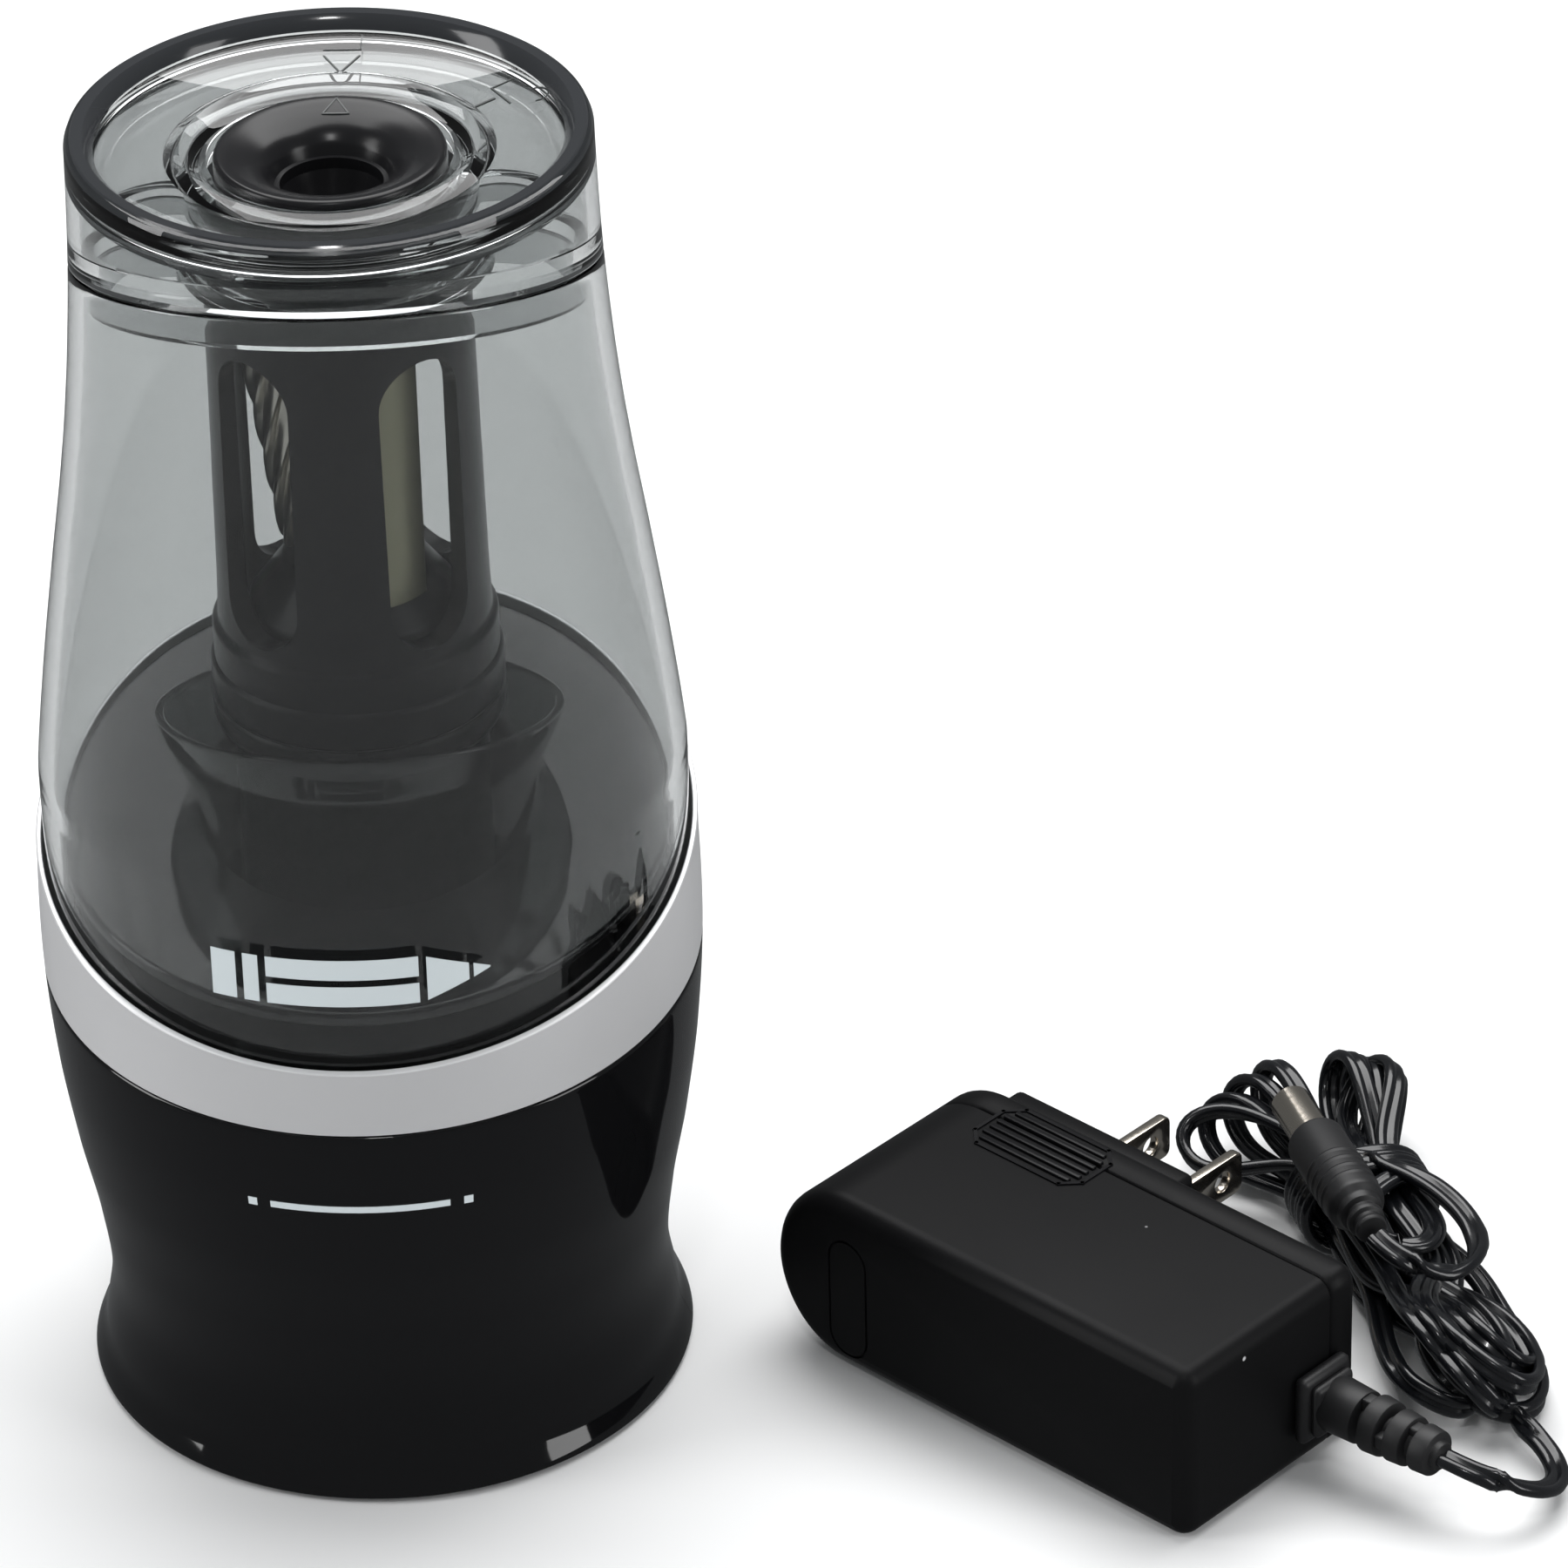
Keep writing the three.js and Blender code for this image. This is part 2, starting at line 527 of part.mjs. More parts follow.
function adapterCase() {
  const { wall: skin, deep, cover } = ADAPTER;
  const seam = deep - cover;
  const bevel = 1.2;
  const shell = adapterBlock(0, bevel, seam).add(adapterBlock(bevel, 0, bevel + 0.1));
  const mouth = block(-3, 1, 22.2, seam + 1, 5.4, 14.6);
  const front = shell.subtract(adapterBlock(skin, skin, seam + 1)).subtract(mouth);
  piece("adapter_front_case", front, MATERIAL.satin, adapter);
  const back = adapterBlock(0, seam + GAP, deep).subtract(adapterBlock(skin, seam - 1, deep - skin));
  let cut = back;
  for (const side of [-0.5, 0.5]) cut = cut.subtract(bladeBody(side, 0.3, deep - 4, deep + 4));
  piece("adapter_back_cover", cut, MATERIAL.satin, adapter);
}

function bladeBody(side, grow, from, to) {
  const x = BLADE.x + side * BLADE.spread;
  const half = BLADE.thick / 2 + grow;
  const tall = BLADE.wide / 2 + grow;
  return block(x - half, x + half, from, to, BLADE.z - tall, BLADE.z + tall);
}

function blades() {
  const face = ADAPTER.deep + 4.2;
  let pad = block(-62, -31, ADAPTER.deep + GAP, face, 3, 24);
  for (const side of [-0.5, 0.5]) {
    const whole = bladeBody(side, 0, 30.5, face + BLADE.long - 0.4);
    const hole = new THREE.CylinderGeometry(1.5, 1.5, 6, 12).rotateZ(Math.PI / 2);
    const place = hole.translate(BLADE.x + side * BLADE.spread, face + BLADE.long - 4, BLADE.z);
    piece(side < 0 ? "blade_left" : "blade_right", whole.subtract(solid(place)), MATERIAL.steel, adapter);
    pad = pad.subtract(bladeBody(side, 0.3, 30, 45));
  }
  piece("blade_pad", pad, MATERIAL.satin, adapter);
}

function adapterInsides() {
  piece("adapter_board", block(-60, -4, 3, 27, 3.4, 5), MATERIAL.board, adapter);
  piece("transformer", block(-38, -17, 6, 22, 5.4, 20.5), MATERIAL.zinc, adapter);
  const can = disc(5, 0, 12, SMALL).translate([-50, 14, 5.4]);
  piece("capacitor", can, MATERIAL.black, adapter);
}

const RELIEF = { y: 26.0, z: 10, long: 21 };
function strainRelief() {
  const { y, z, long } = RELIEF;
  const flange = block(GAP, 2.2, y - 5, y + 4.4, z - 5, z + 5);
  const neck = new THREE.CylinderGeometry(2.5, 4.0, long - 2, SMALL).rotateZ(-Math.PI / 2);
  const stem = block(-2.6, 1, y - 3, y + 2.4, z - 3, z + 3);
  const body = flange.add(solid(neck.translate(2 + (long - 2) / 2, y, z))).add(stem);
  piece("strain_relief", body, MATERIAL.rubber, adapter);
}

function cordTube() {
  const { y, z, long } = RELIEF;
  const section = new THREE.Shape();
  section.absarc(0, 0, CORD_RADIUS, 0, 2 * Math.PI, false);
  const route = new THREE.CatmullRomCurve3([
    [long + 2 * GAP, y, z], [23.4, y + 0.1, z - 0.1], [26.6, 27.5, 8.8], [29.5, 31.0, 6.6], [30.5, 35.1, 4.2],
    [29.3, 39.7, 2.7], [26.0, 43.0, 2.4], [22.4, 44.2, 3.4],
  ].map(([a, b, c]) => new THREE.Vector3(a, b, c)));
  const options = { steps: 14, curveSegments: 4, extrudePath: route, bevelEnabled: false };
  piece("adapter_cord", solid(new THREE.ExtrudeGeometry(section, options)), MATERIAL.rubber, adapter);
}

// Frame of the folded lead: X along the folds, origin on the floor under its middle.
function hankFrame() {
  const frame = new THREE.Group();
  frame.position.set(HANK.x, HANK.y, 0);
  frame.rotation.z = rad(HANK.turn);
  adapter.add(frame);
  return frame;
}

function cordHank(frame) {
  const { back, backRadius, front, frontRadius } = HANK_ENDS;
  const shape = new THREE.Shape();
  shape.absarc(front, 0, frontRadius, -Math.PI / 2, Math.PI / 2, false);
  shape.absarc(back, 0, backRadius, Math.PI / 2, 1.5 * Math.PI, false);
  const options = { depth: HANK.high, bevelEnabled: false, curveSegments: 10 };
  piece("cord_hank", solid(new THREE.ExtrudeGeometry(shape, options)), MATERIAL.rubber, frame);
}

// The round plug lies on the folds, its tail towards their front end.
function dcPlug(parent) {
  const frame = new THREE.Group();
  frame.position.set(-6, -7, HANK.high + 4.3);
  frame.rotation.z = Math.PI;
  parent.add(frame);
  const lying = (shape) => shape.rotate([0, 90, 0]);
  const grip = turned([[0, -14], [2.2, -14], [3.2, -9], [4.0, -8], [4.0, 8], [0, 8]], SMALL);
  piece("plug_body", lying(grip), MATERIAL.rubber, frame);
  const sleeve = tube(1.1, 2.75, 8.3, 17.8, SMALL).add(disc(2.75, 8.3, 9.4, SMALL));
  piece("plug_barrel", lying(sleeve), MATERIAL.steel, frame);
}

// ---- assembly ----
baseShell("front_shell", true);
baseShell("rear_shell", false);
bottomPlate();
const SCREWS = { front_left: -135, front_right: -45, rear_right: 45, rear_left: 135 };
for (const [corner, angle] of Object.entries(SCREWS)) bottomScrew(`screw_${corner}`, angle);
const FEET = { front: -90, right: 0, rear: 90, left: 180 };
for (const [side, angle] of Object.entries(FEET)) rubberFoot(`foot_${side}`, angle);
band();
gearboxPlate();
deck();
motor();
idler();
driveShaft();
electrics();
cage();
ringGear();
carrier();
helicalCutter();
pencilGuide();
receptacle();
lockRing();
receptacleFloor();
shavingsCollar();
lid();
adapterCase();
blades();
adapterInsides();
strainRelief();
cordTube();
const folds = hankFrame();
cordHank(folds);
dcPlug(folds);

export default root;
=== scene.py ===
"""Looks of the electric pencil sharpener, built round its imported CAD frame.

All dimensions are millimetres in the row frame: +Z up, front towards -Y, origin on the floor
under the pencil hole. Only MM turns them into metres.
"""

import math

import bmesh
import bpy
from mathutils import Matrix, Vector


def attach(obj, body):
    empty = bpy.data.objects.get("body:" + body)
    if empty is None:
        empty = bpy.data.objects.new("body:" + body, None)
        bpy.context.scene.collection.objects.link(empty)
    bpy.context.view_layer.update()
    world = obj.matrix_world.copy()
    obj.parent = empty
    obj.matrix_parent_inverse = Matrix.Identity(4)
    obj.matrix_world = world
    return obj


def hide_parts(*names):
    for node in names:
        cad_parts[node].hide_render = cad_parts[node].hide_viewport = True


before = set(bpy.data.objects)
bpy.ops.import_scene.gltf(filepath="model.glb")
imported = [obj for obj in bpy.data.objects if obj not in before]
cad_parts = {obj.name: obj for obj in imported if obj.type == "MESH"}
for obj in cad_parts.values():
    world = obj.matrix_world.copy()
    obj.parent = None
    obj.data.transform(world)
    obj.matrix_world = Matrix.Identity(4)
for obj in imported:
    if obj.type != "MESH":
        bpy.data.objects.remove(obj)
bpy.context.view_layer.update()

MM = 0.001
FRONT = -math.pi / 2

# Outside radius of the whole body at a few heights, floor to rim.
OUTLINE = [
    (40.0, 0), (38.2, 4.5), (36.8, 14), (38.0, 26), (39.9, 36), (41.6, 48), (42.6, 62), (42.5, 76),
    (41.5, 90), (39.8, 105), (37.7, 120), (35.5, 135), (34.0, 148), (32.9, 163), (32.4, 179.7),
]
WALL = 2.0
GAP = 0.3

# Sloping seams: height at the axis, and tilt about X in degrees (positive is higher at the back).
BASE_SEAM = (62.4, 4.6)
BAND_TOP = (80.6, 15.8)
LID_SEAM = (161.4, -15.0)
COLLAR_RIM = (98.0, -15.0)
FLOOR_SEAM = (82.0, 12.0)
FLOOR_THICK = 1.8
FLOOR_RADIUS = 38.8
BAND_INSIDE = 41.75
CONTAINER_MAX = 41.4
CONTAINER_FOOT = 66.2
COLLAR_OUTSIDE = [(20.4, 73), (20.4, 79), (21.6, 86), (23.6, 92), (26.0, 98), (27.6, 108)]
COLLAR_WALL = 1.3

WINDOW = {"low": 113.5, "high": 154.0, "width": 11.8, "angle": 40}
CUTTER = {"x": -9.8, "z": 156.0, "lean": 8.0, "low": -34.2, "long": 31.6, "flutes": 8, "turns": 0.6}

# Wall adapter: its own frame runs along X, away from the front along Y, and up Z.
ADAPTER = {"long": 72.0, "deep": 34.0, "high": 26.0, "cover": 5.2, "x": 104.0, "y": -50.0, "turn": -42.0}
BLADE = {"x": -44.3, "spread": 12.7, "long": 17.2, "wide": 6.35, "thick": 1.5, "z": 13.0}
RELIEF = {"y": 26.0, "z": 10.0, "long": 21.0}
HANK = {"x": -14.8, "y": 60.9, "turn": -30.0, "high": 13.0}
PLUG = {"u": -6.0, "v": -7.0}
CORD = {"wide": 3.2, "thick": 1.7}
PLUG_LIFT = 4.3                  # the plug's axis above the top of the hank
PRINT_HEIGHT = 81.5              # middle of the pencil picture
MARK_HEIGHT = 47.5               # middle of the mark on the base


# ---- shapes ----
def rad(degrees):
    return math.radians(degrees)


def curve_value(points, z):
    """Radius at a height, smoothed through (radius, height) points."""
    last = len(points) - 1
    i = max(0, min(last - 1, sum(1 for _, height in points if height <= z) - 1))
    around = [points[max(0, min(last, i + k))] for k in (-1, 0, 1, 2)]
    t = (z - around[1][1]) / (around[2][1] - around[1][1])
    t = max(0.0, min(1.0, t))
    a, b, c, d = (radius for radius, _ in around)
    return 0.5 * (2 * b + (c - a) * t + (2 * a - 5 * b + 4 * c - d) * t**2 + (3 * b - a - 3 * c + d) * t**3)


def body_radius(z):
    return curve_value(OUTLINE, z)


def band_radius(z):
    return max(body_radius(z), BAND_INSIDE + 0.7)


def container_radius(z):
    return min(body_radius(z), CONTAINER_MAX, 40.2 + (z - CONTAINER_FOOT) * 0.6)


def container_bore(z):
    return min(body_radius(z), CONTAINER_MAX) - WALL


def collar_radius(z):
    return curve_value(COLLAR_OUTSIDE, z)


def seam_height(seam, outside, angle, shift=0.0):
    """Height where a sloping seam meets a turned surface, at an angle round the axis."""
    height, tilt = seam
    z = height
    for _ in range(6):
        z = height + shift + math.tan(rad(tilt)) * outside(z) * math.sin(angle)
    return z


def mesh_object(name, vertices, faces, sharp=32):
    """A smooth-shaded mesh from points in millimetres, with its corners merged and facing out."""
    mesh = bpy.data.meshes.new(name)
    mesh.from_pydata([[c * MM for c in v] for v in vertices], [], faces)
    work = bmesh.new()
    work.from_mesh(mesh)
    bmesh.ops.remove_doubles(work, verts=work.verts, dist=2e-6)
    bmesh.ops.recalc_face_normals(work, faces=work.faces)
    work.to_mesh(mesh)
    work.free()
    made = bpy.data.objects.new(name, mesh)
    bpy.context.scene.collection.objects.link(made)
    smooth(made, sharp)
    return made


def smooth(piece, sharp=32):
    piece.data.shade_smooth()
    piece.data.set_sharp_from_angle(angle=rad(sharp))


def loft(name, sections, looped=False, sharp=32):
    """Joins closed sections in a row. A looped row ends where it starts, an open one is capped."""
    count = len(sections[0])
    vertices = [point for section in sections for point in section]
    faces = []
    for i in range(len(sections) if looped else len(sections) - 1):
        a, b = i * count, ((i + 1) % len(sections)) * count
        for j in range(count):
            k = (j + 1) % count
            faces.append((a + j, b + j, b + k, a + k))
    if not looped:
        end = (len(sections) - 1) * count
        faces.append(tuple(range(count)))
        faces.append(tuple(end + j for j in reversed(range(count))))
    return mesh_object(name, vertices, faces, sharp)


def eased(profile, radii, steps=4):
    """A closed profile with some corners rounded: radii maps a corner's number to its radius."""
    made = []
    for i, corner in enumerate(profile):
        size = radii.get(i, 0)
        if not size:
            made.append(corner)
            continue
        here = Vector(corner)
        ends = []
        for other in (profile[i - 1], profile[(i + 1) % len(profile)]):
            way = Vector(other) - here
            ends.append(here + way.normalized() * min(size, way.length * 0.48))
        for k in range(steps + 1):
            t = k / steps
            made.append(tuple(ends[0] * (1 - t) ** 2 + here * 2 * t * (1 - t) + ends[1] * t**2))
    return made


def swept(name, profile_at, steps=180, start=0.0, stop=360.0, sharp=32):
    """Turns a closed (radius, height) profile about Z; profile_at gives it for each angle."""
    whole = stop - start >= 360
    angles = [rad(start + (stop - start) * i / steps) for i in range(steps if whole else steps + 1)]
    sections = []
    for angle in angles:
        c, s = math.cos(angle), math.sin(angle)
        sections.append([(r * c, r * s, z) for r, z in profile_at(angle)])
    return loft(name, sections, whole, sharp)


def turned(name, profile, steps=120, sharp=32):
    return swept(name, lambda angle: profile, steps, sharp=sharp)


def column(radius_at, start, end, rows):
    """Evenly spaced (radius, height) points of a turned surface between two heights."""
    heights = [start + (end - start) * (k / rows) for k in range(rows + 1)]
    return [(radius_at(z), z) for z in heights]


def wall(name, outside, inside, low, high, rows=36, ease=0.4, lift=0.0, **span):
    """A wall between two sloping seams, with its four edges eased."""
    def profile_at(angle):
        bottom, top = (seam_height(low, outside, angle, lift), seam_height(high, outside, angle))
        bottom_in, top_in = (seam_height(low, inside, angle, lift), seam_height(high, inside, angle))
        outer = column(outside, bottom, top, rows)
        inner = column(inside, top_in, bottom_in, rows)
        corners = {0: ease, rows: ease, rows + 1: ease, 2 * rows + 1: ease}
        return eased(outer + inner, corners)
    return swept(name, profile_at, **span)


def block(name, x, y, z, ease=0.0):
    """A box between pairs of limits."""
    corners = [(x[0], y[0]), (x[1], y[0]), (x[1], y[1]), (x[0], y[1])]
    sections = [[(*corner, height) for corner in corners] for height in z]
    made = loft(name, sections)
    if ease:
        soften(made, ease)
    return made


def soften(piece, width, segments=3):
    bevel = piece.modifiers.new("bevel", "BEVEL")
    bevel.width = width * MM
    bevel.segments = segments
    bevel.limit_method = "ANGLE"
    bevel.angle_limit = rad(40)
    apply(piece)
    smooth(piece, 40)


def apply(piece):
    """Bakes a piece's modifiers into its mesh."""
    bpy.context.view_layer.update()
    seen = piece.evaluated_get(bpy.context.evaluated_depsgraph_get())
    baked = bpy.data.meshes.new_from_object(seen)
    piece.modifiers.clear()
    piece.data = baked


def cut(piece, cutter, sharp=32):
    """Takes the cutter out of the piece, and the cutter out of the scene."""
    modifier = piece.modifiers.new("cut", "BOOLEAN")
    modifier.operation = "DIFFERENCE"
    modifier.solver = "EXACT"
    modifier.object = cutter
    apply(piece)
    bpy.data.objects.remove(cutter)
    smooth(piece, sharp)


def joined(name, pieces):
    """One piece made of several meshes."""
    work = bmesh.new()
    for piece in pieces:
        piece.data.transform(piece.matrix_world)
        work.from_mesh(piece.data)
        bpy.data.objects.remove(piece)
    mesh = bpy.data.meshes.new(name)
    work.to_mesh(mesh)
    work.free()
    made = bpy.data.objects.new(name, mesh)
    bpy.context.scene.collection.objects.link(made)
    smooth(made)
    return made


def moved(piece, matrix):
    """Moves a mesh's own points; the matrix is in millimetres."""
    scale = Matrix.Scale(MM, 4)
    piece.data.transform(scale @ matrix @ scale.inverted())
    return piece


def placed(x, y, z, turn=0.0, lean=0.0):
    about_z = Matrix.Rotation(rad(turn), 4, "Z")
    about_y = Matrix.Rotation(rad(lean), 4, "Y")
    return Matrix.Translation((x, y, z)) @ about_z @ about_y


# ---- finishes ----
def new_material(name):
    material = bpy.data.materials.new(name)
    material.use_nodes = True
    nodes = material.node_tree.nodes
    return material, nodes, material.node_tree.links, nodes["Principled BSDF"]


def noise(nodes, links, scale, detail=4.0):
    place = nodes.new("ShaderNodeTexCoord")
    made = nodes.new("ShaderNodeTexNoise")
    made.inputs["Scale"].default_value = scale
    made.inputs["Detail"].default_value = detail
    links.new(place.outputs["Object"], made.inputs["Vector"])
    return made


def vary(nodes, links, source, low, high):
    """A number that wanders between two values with a noise."""
    spread = nodes.new("ShaderNodeMapRange")
    spread.inputs["From Min"].default_value = 0.3
    spread.inputs["From Max"].default_value = 0.7
    spread.inputs["To Min"].default_value = low
    spread.inputs["To Max"].default_value = high
    links.new(source.outputs["Fac"], spread.inputs["Value"])
    return spread.outputs["Result"]


def bump(nodes, links, source, shader, strength, height):
    made = nodes.new("ShaderNodeBump")
    made.inputs["Strength"].default_value = strength
    made.inputs["Distance"].default_value = height * MM
    links.new(source, made.inputs["Height"])
    links.new(made.outputs["Normal"], shader.inputs["Normal"])


def solid_finish(
    name, colour, roughness, metal=0.0, grain=900.0, relief=0.05, coat=0.0, wander=0.15, shine=0.5,
):
    """Plastic, rubber or metal with uneven gloss and a fine grain."""
    material, nodes, links, shader = new_material(name)
    shader.inputs["Base Color"].default_value = (*colour, 1)
    shader.inputs["Metallic"].default_value = metal
    shader.inputs["Specular IOR Level"].default_value = shine
    shader.inputs["Coat Weight"].default_value = coat
    shader.inputs["Coat Roughness"].default_value = 0.05
    clouds = noise(nodes, links, 60.0)
    rough = vary(nodes, links, clouds, roughness * (1 - wander), roughness * (1 + wander))
    links.new(rough, shader.inputs["Roughness"])
    fine = noise(nodes, links, grain, 2.0)
    bump(nodes, links, fine.outputs["Fac"], shader, 0.25, relief)
    return material


def dusty_finish(name, colour, roughness):
    """Satin black moulding with a few pale specks of dust."""
    material = solid_finish(name, colour, roughness, grain=1800.0, relief=0.02, wander=0.1, shine=0.1)
    nodes, links = material.node_tree.nodes, material.node_tree.links
    shader = nodes["Principled BSDF"]
    place = nodes.new("ShaderNodeTexCoord")
    cells = nodes.new("ShaderNodeTexVoronoi")
    cells.inputs["Scale"].default_value = 95.0
    links.new(place.outputs["Object"], cells.inputs["Vector"])
    speck = nodes.new("ShaderNodeMapRange")
    speck.inputs["From Min"].default_value = 0.025
    speck.inputs["From Max"].default_value = 0.04
    speck.inputs["To Min"].default_value = 1.0
    speck.inputs["To Max"].default_value = 0.0
    links.new(cells.outputs["Distance"], speck.inputs["Value"])
    mix = nodes.new("ShaderNodeMix")
    mix.data_type = "RGBA"
    mix.inputs["A"].default_value = (*colour, 1)
    mix.inputs["B"].default_value = (0.5, 0.5, 0.51, 1)
    links.new(speck.outputs["Result"], mix.inputs["Factor"])
    links.new(mix.outputs["Result"], shader.inputs["Base Color"])
    return material


def clear_finish(name, tint, lamp_tint, roughness=0.015):
    """Tinted clear plastic. Light from the lamps passes straight through it, a little dimmed."""
    material, nodes, links, shader = new_material(name)
    shader.inputs["Base Color"].default_value = (*tint, 1)
    shader.inputs["Transmission Weight"].default_value = 1.0
    shader.inputs["IOR"].default_value = 1.49
    clouds = noise(nodes, links, 40.0)
    links.new(vary(nodes, links, clouds, roughness * 0.5, roughness * 1.5), shader.inputs["Roughness"])
    ripple = noise(nodes, links, 22.0, 1.0)
    bump(nodes, links, ripple.outputs["Fac"], shader, 0.12, 0.25)
    through = nodes.new("ShaderNodeBsdfTransparent")
    through.inputs["Color"].default_value = (*lamp_tint, 1)
    path = nodes.new("ShaderNodeLightPath")
    either = nodes.new("ShaderNodeMath")
    either.operation = "MAXIMUM"
    links.new(path.outputs["Is Shadow Ray"], either.inputs[0])
    links.new(path.outputs["Is Diffuse Ray"], either.inputs[1])
    mix = nodes.new("ShaderNodeMixShader")
    links.new(either.outputs["Value"], mix.inputs["Fac"])
    links.new(shader.outputs["BSDF"], mix.inputs[1])
    links.new(through.outputs["BSDF"], mix.inputs[2])
    links.new(mix.outputs["Shader"], nodes["Material Output"].inputs["Surface"])
    return material


FINISH = {
    "clear_plastic": clear_finish("clear", (0.55, 0.565, 0.565), (0.76, 0.77, 0.77)),
    "smoke_plastic": clear_finish("smoke", (0.24, 0.26, 0.26), (0.5, 0.52, 0.52)),
    "gloss_black": solid_finish("gloss", (0.004, 0.004, 0.0045), 0.05, grain=35.0, relief=0.02),
    "black_plastic": solid_finish(
        "black", (0.006, 0.006, 0.007), 0.3, relief=0.01, wander=0.08, shine=0.18,
    ),
    "satin_black": dusty_finish("satin", (0.006, 0.006, 0.0065), 0.42),
    "silver_plastic": solid_finish("silver", (0.7, 0.7, 0.71), 0.36, metal=0.4, grain=2500.0, relief=0.02),
    "steel": solid_finish("steel", (0.55, 0.56, 0.57), 0.3, metal=1.0),
    "tool_steel": solid_finish("tool", (0.66, 0.63, 0.57), 0.3, metal=1.0, relief=0.03),
    "nickel": solid_finish("nickel", (0.62, 0.57, 0.5), 0.2, metal=1.0),
    "zinc_casting": solid_finish("zinc", (0.32, 0.31, 0.22), 0.42, metal=0.8, grain=400.0),
    "brass": solid_finish("brass", (0.55, 0.38, 0.14), 0.3, metal=1.0),
    "nylon": solid_finish("nylon", (0.75, 0.72, 0.63), 0.5),
    "circuit_board": solid_finish("board", (0.01, 0.09, 0.03), 0.5),
    "rubber": solid_finish("rubber", (0.011, 0.011, 0.012), 0.5, relief=0.04),
    "cord_sheath": solid_finish("sheath", (0.006, 0.0065, 0.008), 0.2, grain=300.0, relief=0.04, coat=0.3),
}
PAINT = solid_finish("paint", (0.62, 0.68, 0.7), 0.45)
RELIEF_LINE = solid_finish("relief_line", (0.035, 0.04, 0.04), 0.4)
RIM = solid_finish("rim", (0.03, 0.032, 0.035), 0.12, relief=0.01)
BOWL = solid_finish("bowl", (0.01, 0.01, 0.011), 0.24, relief=0.005, wander=0.05, shine=0.3)


def finished(piece, slot, body, *nodes, material=None):
    """Gives a piece its finish, its body and the CAD nodes that it stands for."""
    piece.data.materials.clear()
    piece.data.materials.append(material or FINISH[slot])
    for face in piece.data.polygons:
        face.material_index = 0
    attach(piece, body)
    if nodes:
        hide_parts(*nodes)
    return piece


# ---- base ----
def base_pieces():
    low = (0.6, 0.0)
    for name, start in (("base_front", 180.08), ("base_rear", 0.08)):
        shell = wall(
            name, body_radius, lambda z: body_radius(z) - WALL, low, BASE_SEAM,
            rows=48, ease=0.5, start=start, stop=start + 179.84, steps=120,
        )
        if name == "base_rear":
            hole = turned("hole", [(0, -8), (4.5, -8), (4.5, 8), (0, 8)], 48)
            moved(hole, Matrix.Translation((0, 38, 12)) @ Matrix.Rotation(rad(90), 4, "X"))
            cut(shell, hole)
        finished(shell, "gloss_black", "base", "front_shell" if name == "base_front" else "rear_shell")
    band = wall("band", band_radius, lambda z: BAND_INSIDE, BASE_SEAM, BAND_TOP, ease=0.22, lift=GAP)
    finished(band, "silver_plastic", "base", "silver_band")


def plain_nodes():
    """CAD nodes that keep their own shape, with the finish of each."""
    kept = {
        "steel": ["screw_front_left", "screw_front_right", "screw_rear_right", "screw_rear_left",
                  "motor_can", "motor_shaft", "idler_axle", "drive_shaft", "cutter_axle", "ring_gear"],
        "tool_steel": ["cutter_pinion"],
        "rubber": ["foot_front", "foot_right", "foot_rear", "foot_left"],
        "black_plastic": ["bottom_plate", "gearbox_plate", "deck", "motor_end_cap", "power_jack",
                          "interlock_switch", "capacitor"],
        "brass": ["lower_bush", "upper_bush", "motor_pinion"],
        "nylon": ["idler_gear", "output_gear", "interlock_plunger"],
        "circuit_board": ["control_board", "adapter_board"],
        "smoke_plastic": ["lock_ring"],
        "zinc_casting": ["transformer"],
    }
    for slot, names in kept.items():
        for name in names:
            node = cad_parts[name]
            node.data.materials.clear()
            node.data.materials.append(FINISH[slot])


# ---- cage and cutter ----
def window_cutter(angle):
    """A round-ended slot right through the cage, square to one radius."""
    half = WINDOW["width"] / 2
    ends = ((WINDOW["high"] - half, 0), (WINDOW["low"] + half, 180))
    outline = []
    for middle, turn in ends:
        for k in range(17):
            a = rad(turn + 180 * k / 16)
            outline.append((half * math.cos(a), middle + half * math.sin(a)))
    sections = [[(x, y, z) for x, z in outline] for y in (-30, 30)]
    return moved(loft("window", sections), Matrix.Rotation(rad(angle), 4, "Z"))


def cage_pieces():
    outer = [
        (16.2, 59.8), (16.2, 96.6), (18.0, 97.0), (18.6, 98.5), (18.6, 100.8), (18.2, 101.2), (18.6, 101.6),
        (18.6, 106.2), (18.1, 106.7), (18.1, 111.4), (17.3, 112.2), (17.1, 120), (16.7, 148), (16.6, 171.5),
    ]
    inner = [(14.2, 171.5), (14.2, 103), (5.3, 103), (5.3, 98), (14.0, 98), (14.0, 59.8)]
    edges = {2: 0.5, 3: 0.5, 4: 0.3, 5: 0.3, 6: 0.3, 7: 0.4, 9: 0.4, 10: 0.4, 13: 0.5}
    cage = turned("cage", eased(outer + inner, edges, 3), 144)
    for side in (-1, 1):
        cut(cage, window_cutter(side * WINDOW["angle"]))
    finished(cage, "black_plastic", "base", "cutter_cage")
    bowl = [
        (4.2, 163.6), (6.4, 163.6), (6.4, 171.8), (14.4, 171.8), (14.4, 176.0), (13.9, 176.5),
        (12.8, 176.4), (10.8, 175.7), (8.8, 174.6), (7.6, 173.2), (6.6, 170.8), (5.6, 168.4), (4.2, 165.6),
    ]
    bends = {4: 0.5, 5: 0.3, 6: 0.5, 7: 0.8, 8: 0.8, 9: 0.4, 10: 0.8, 11: 0.8}
    guide = turned("guide", eased(bowl, bends, 3), 144, 50)
    finished(guide, "satin_black", "base", "pencil_guide", material=BOWL)


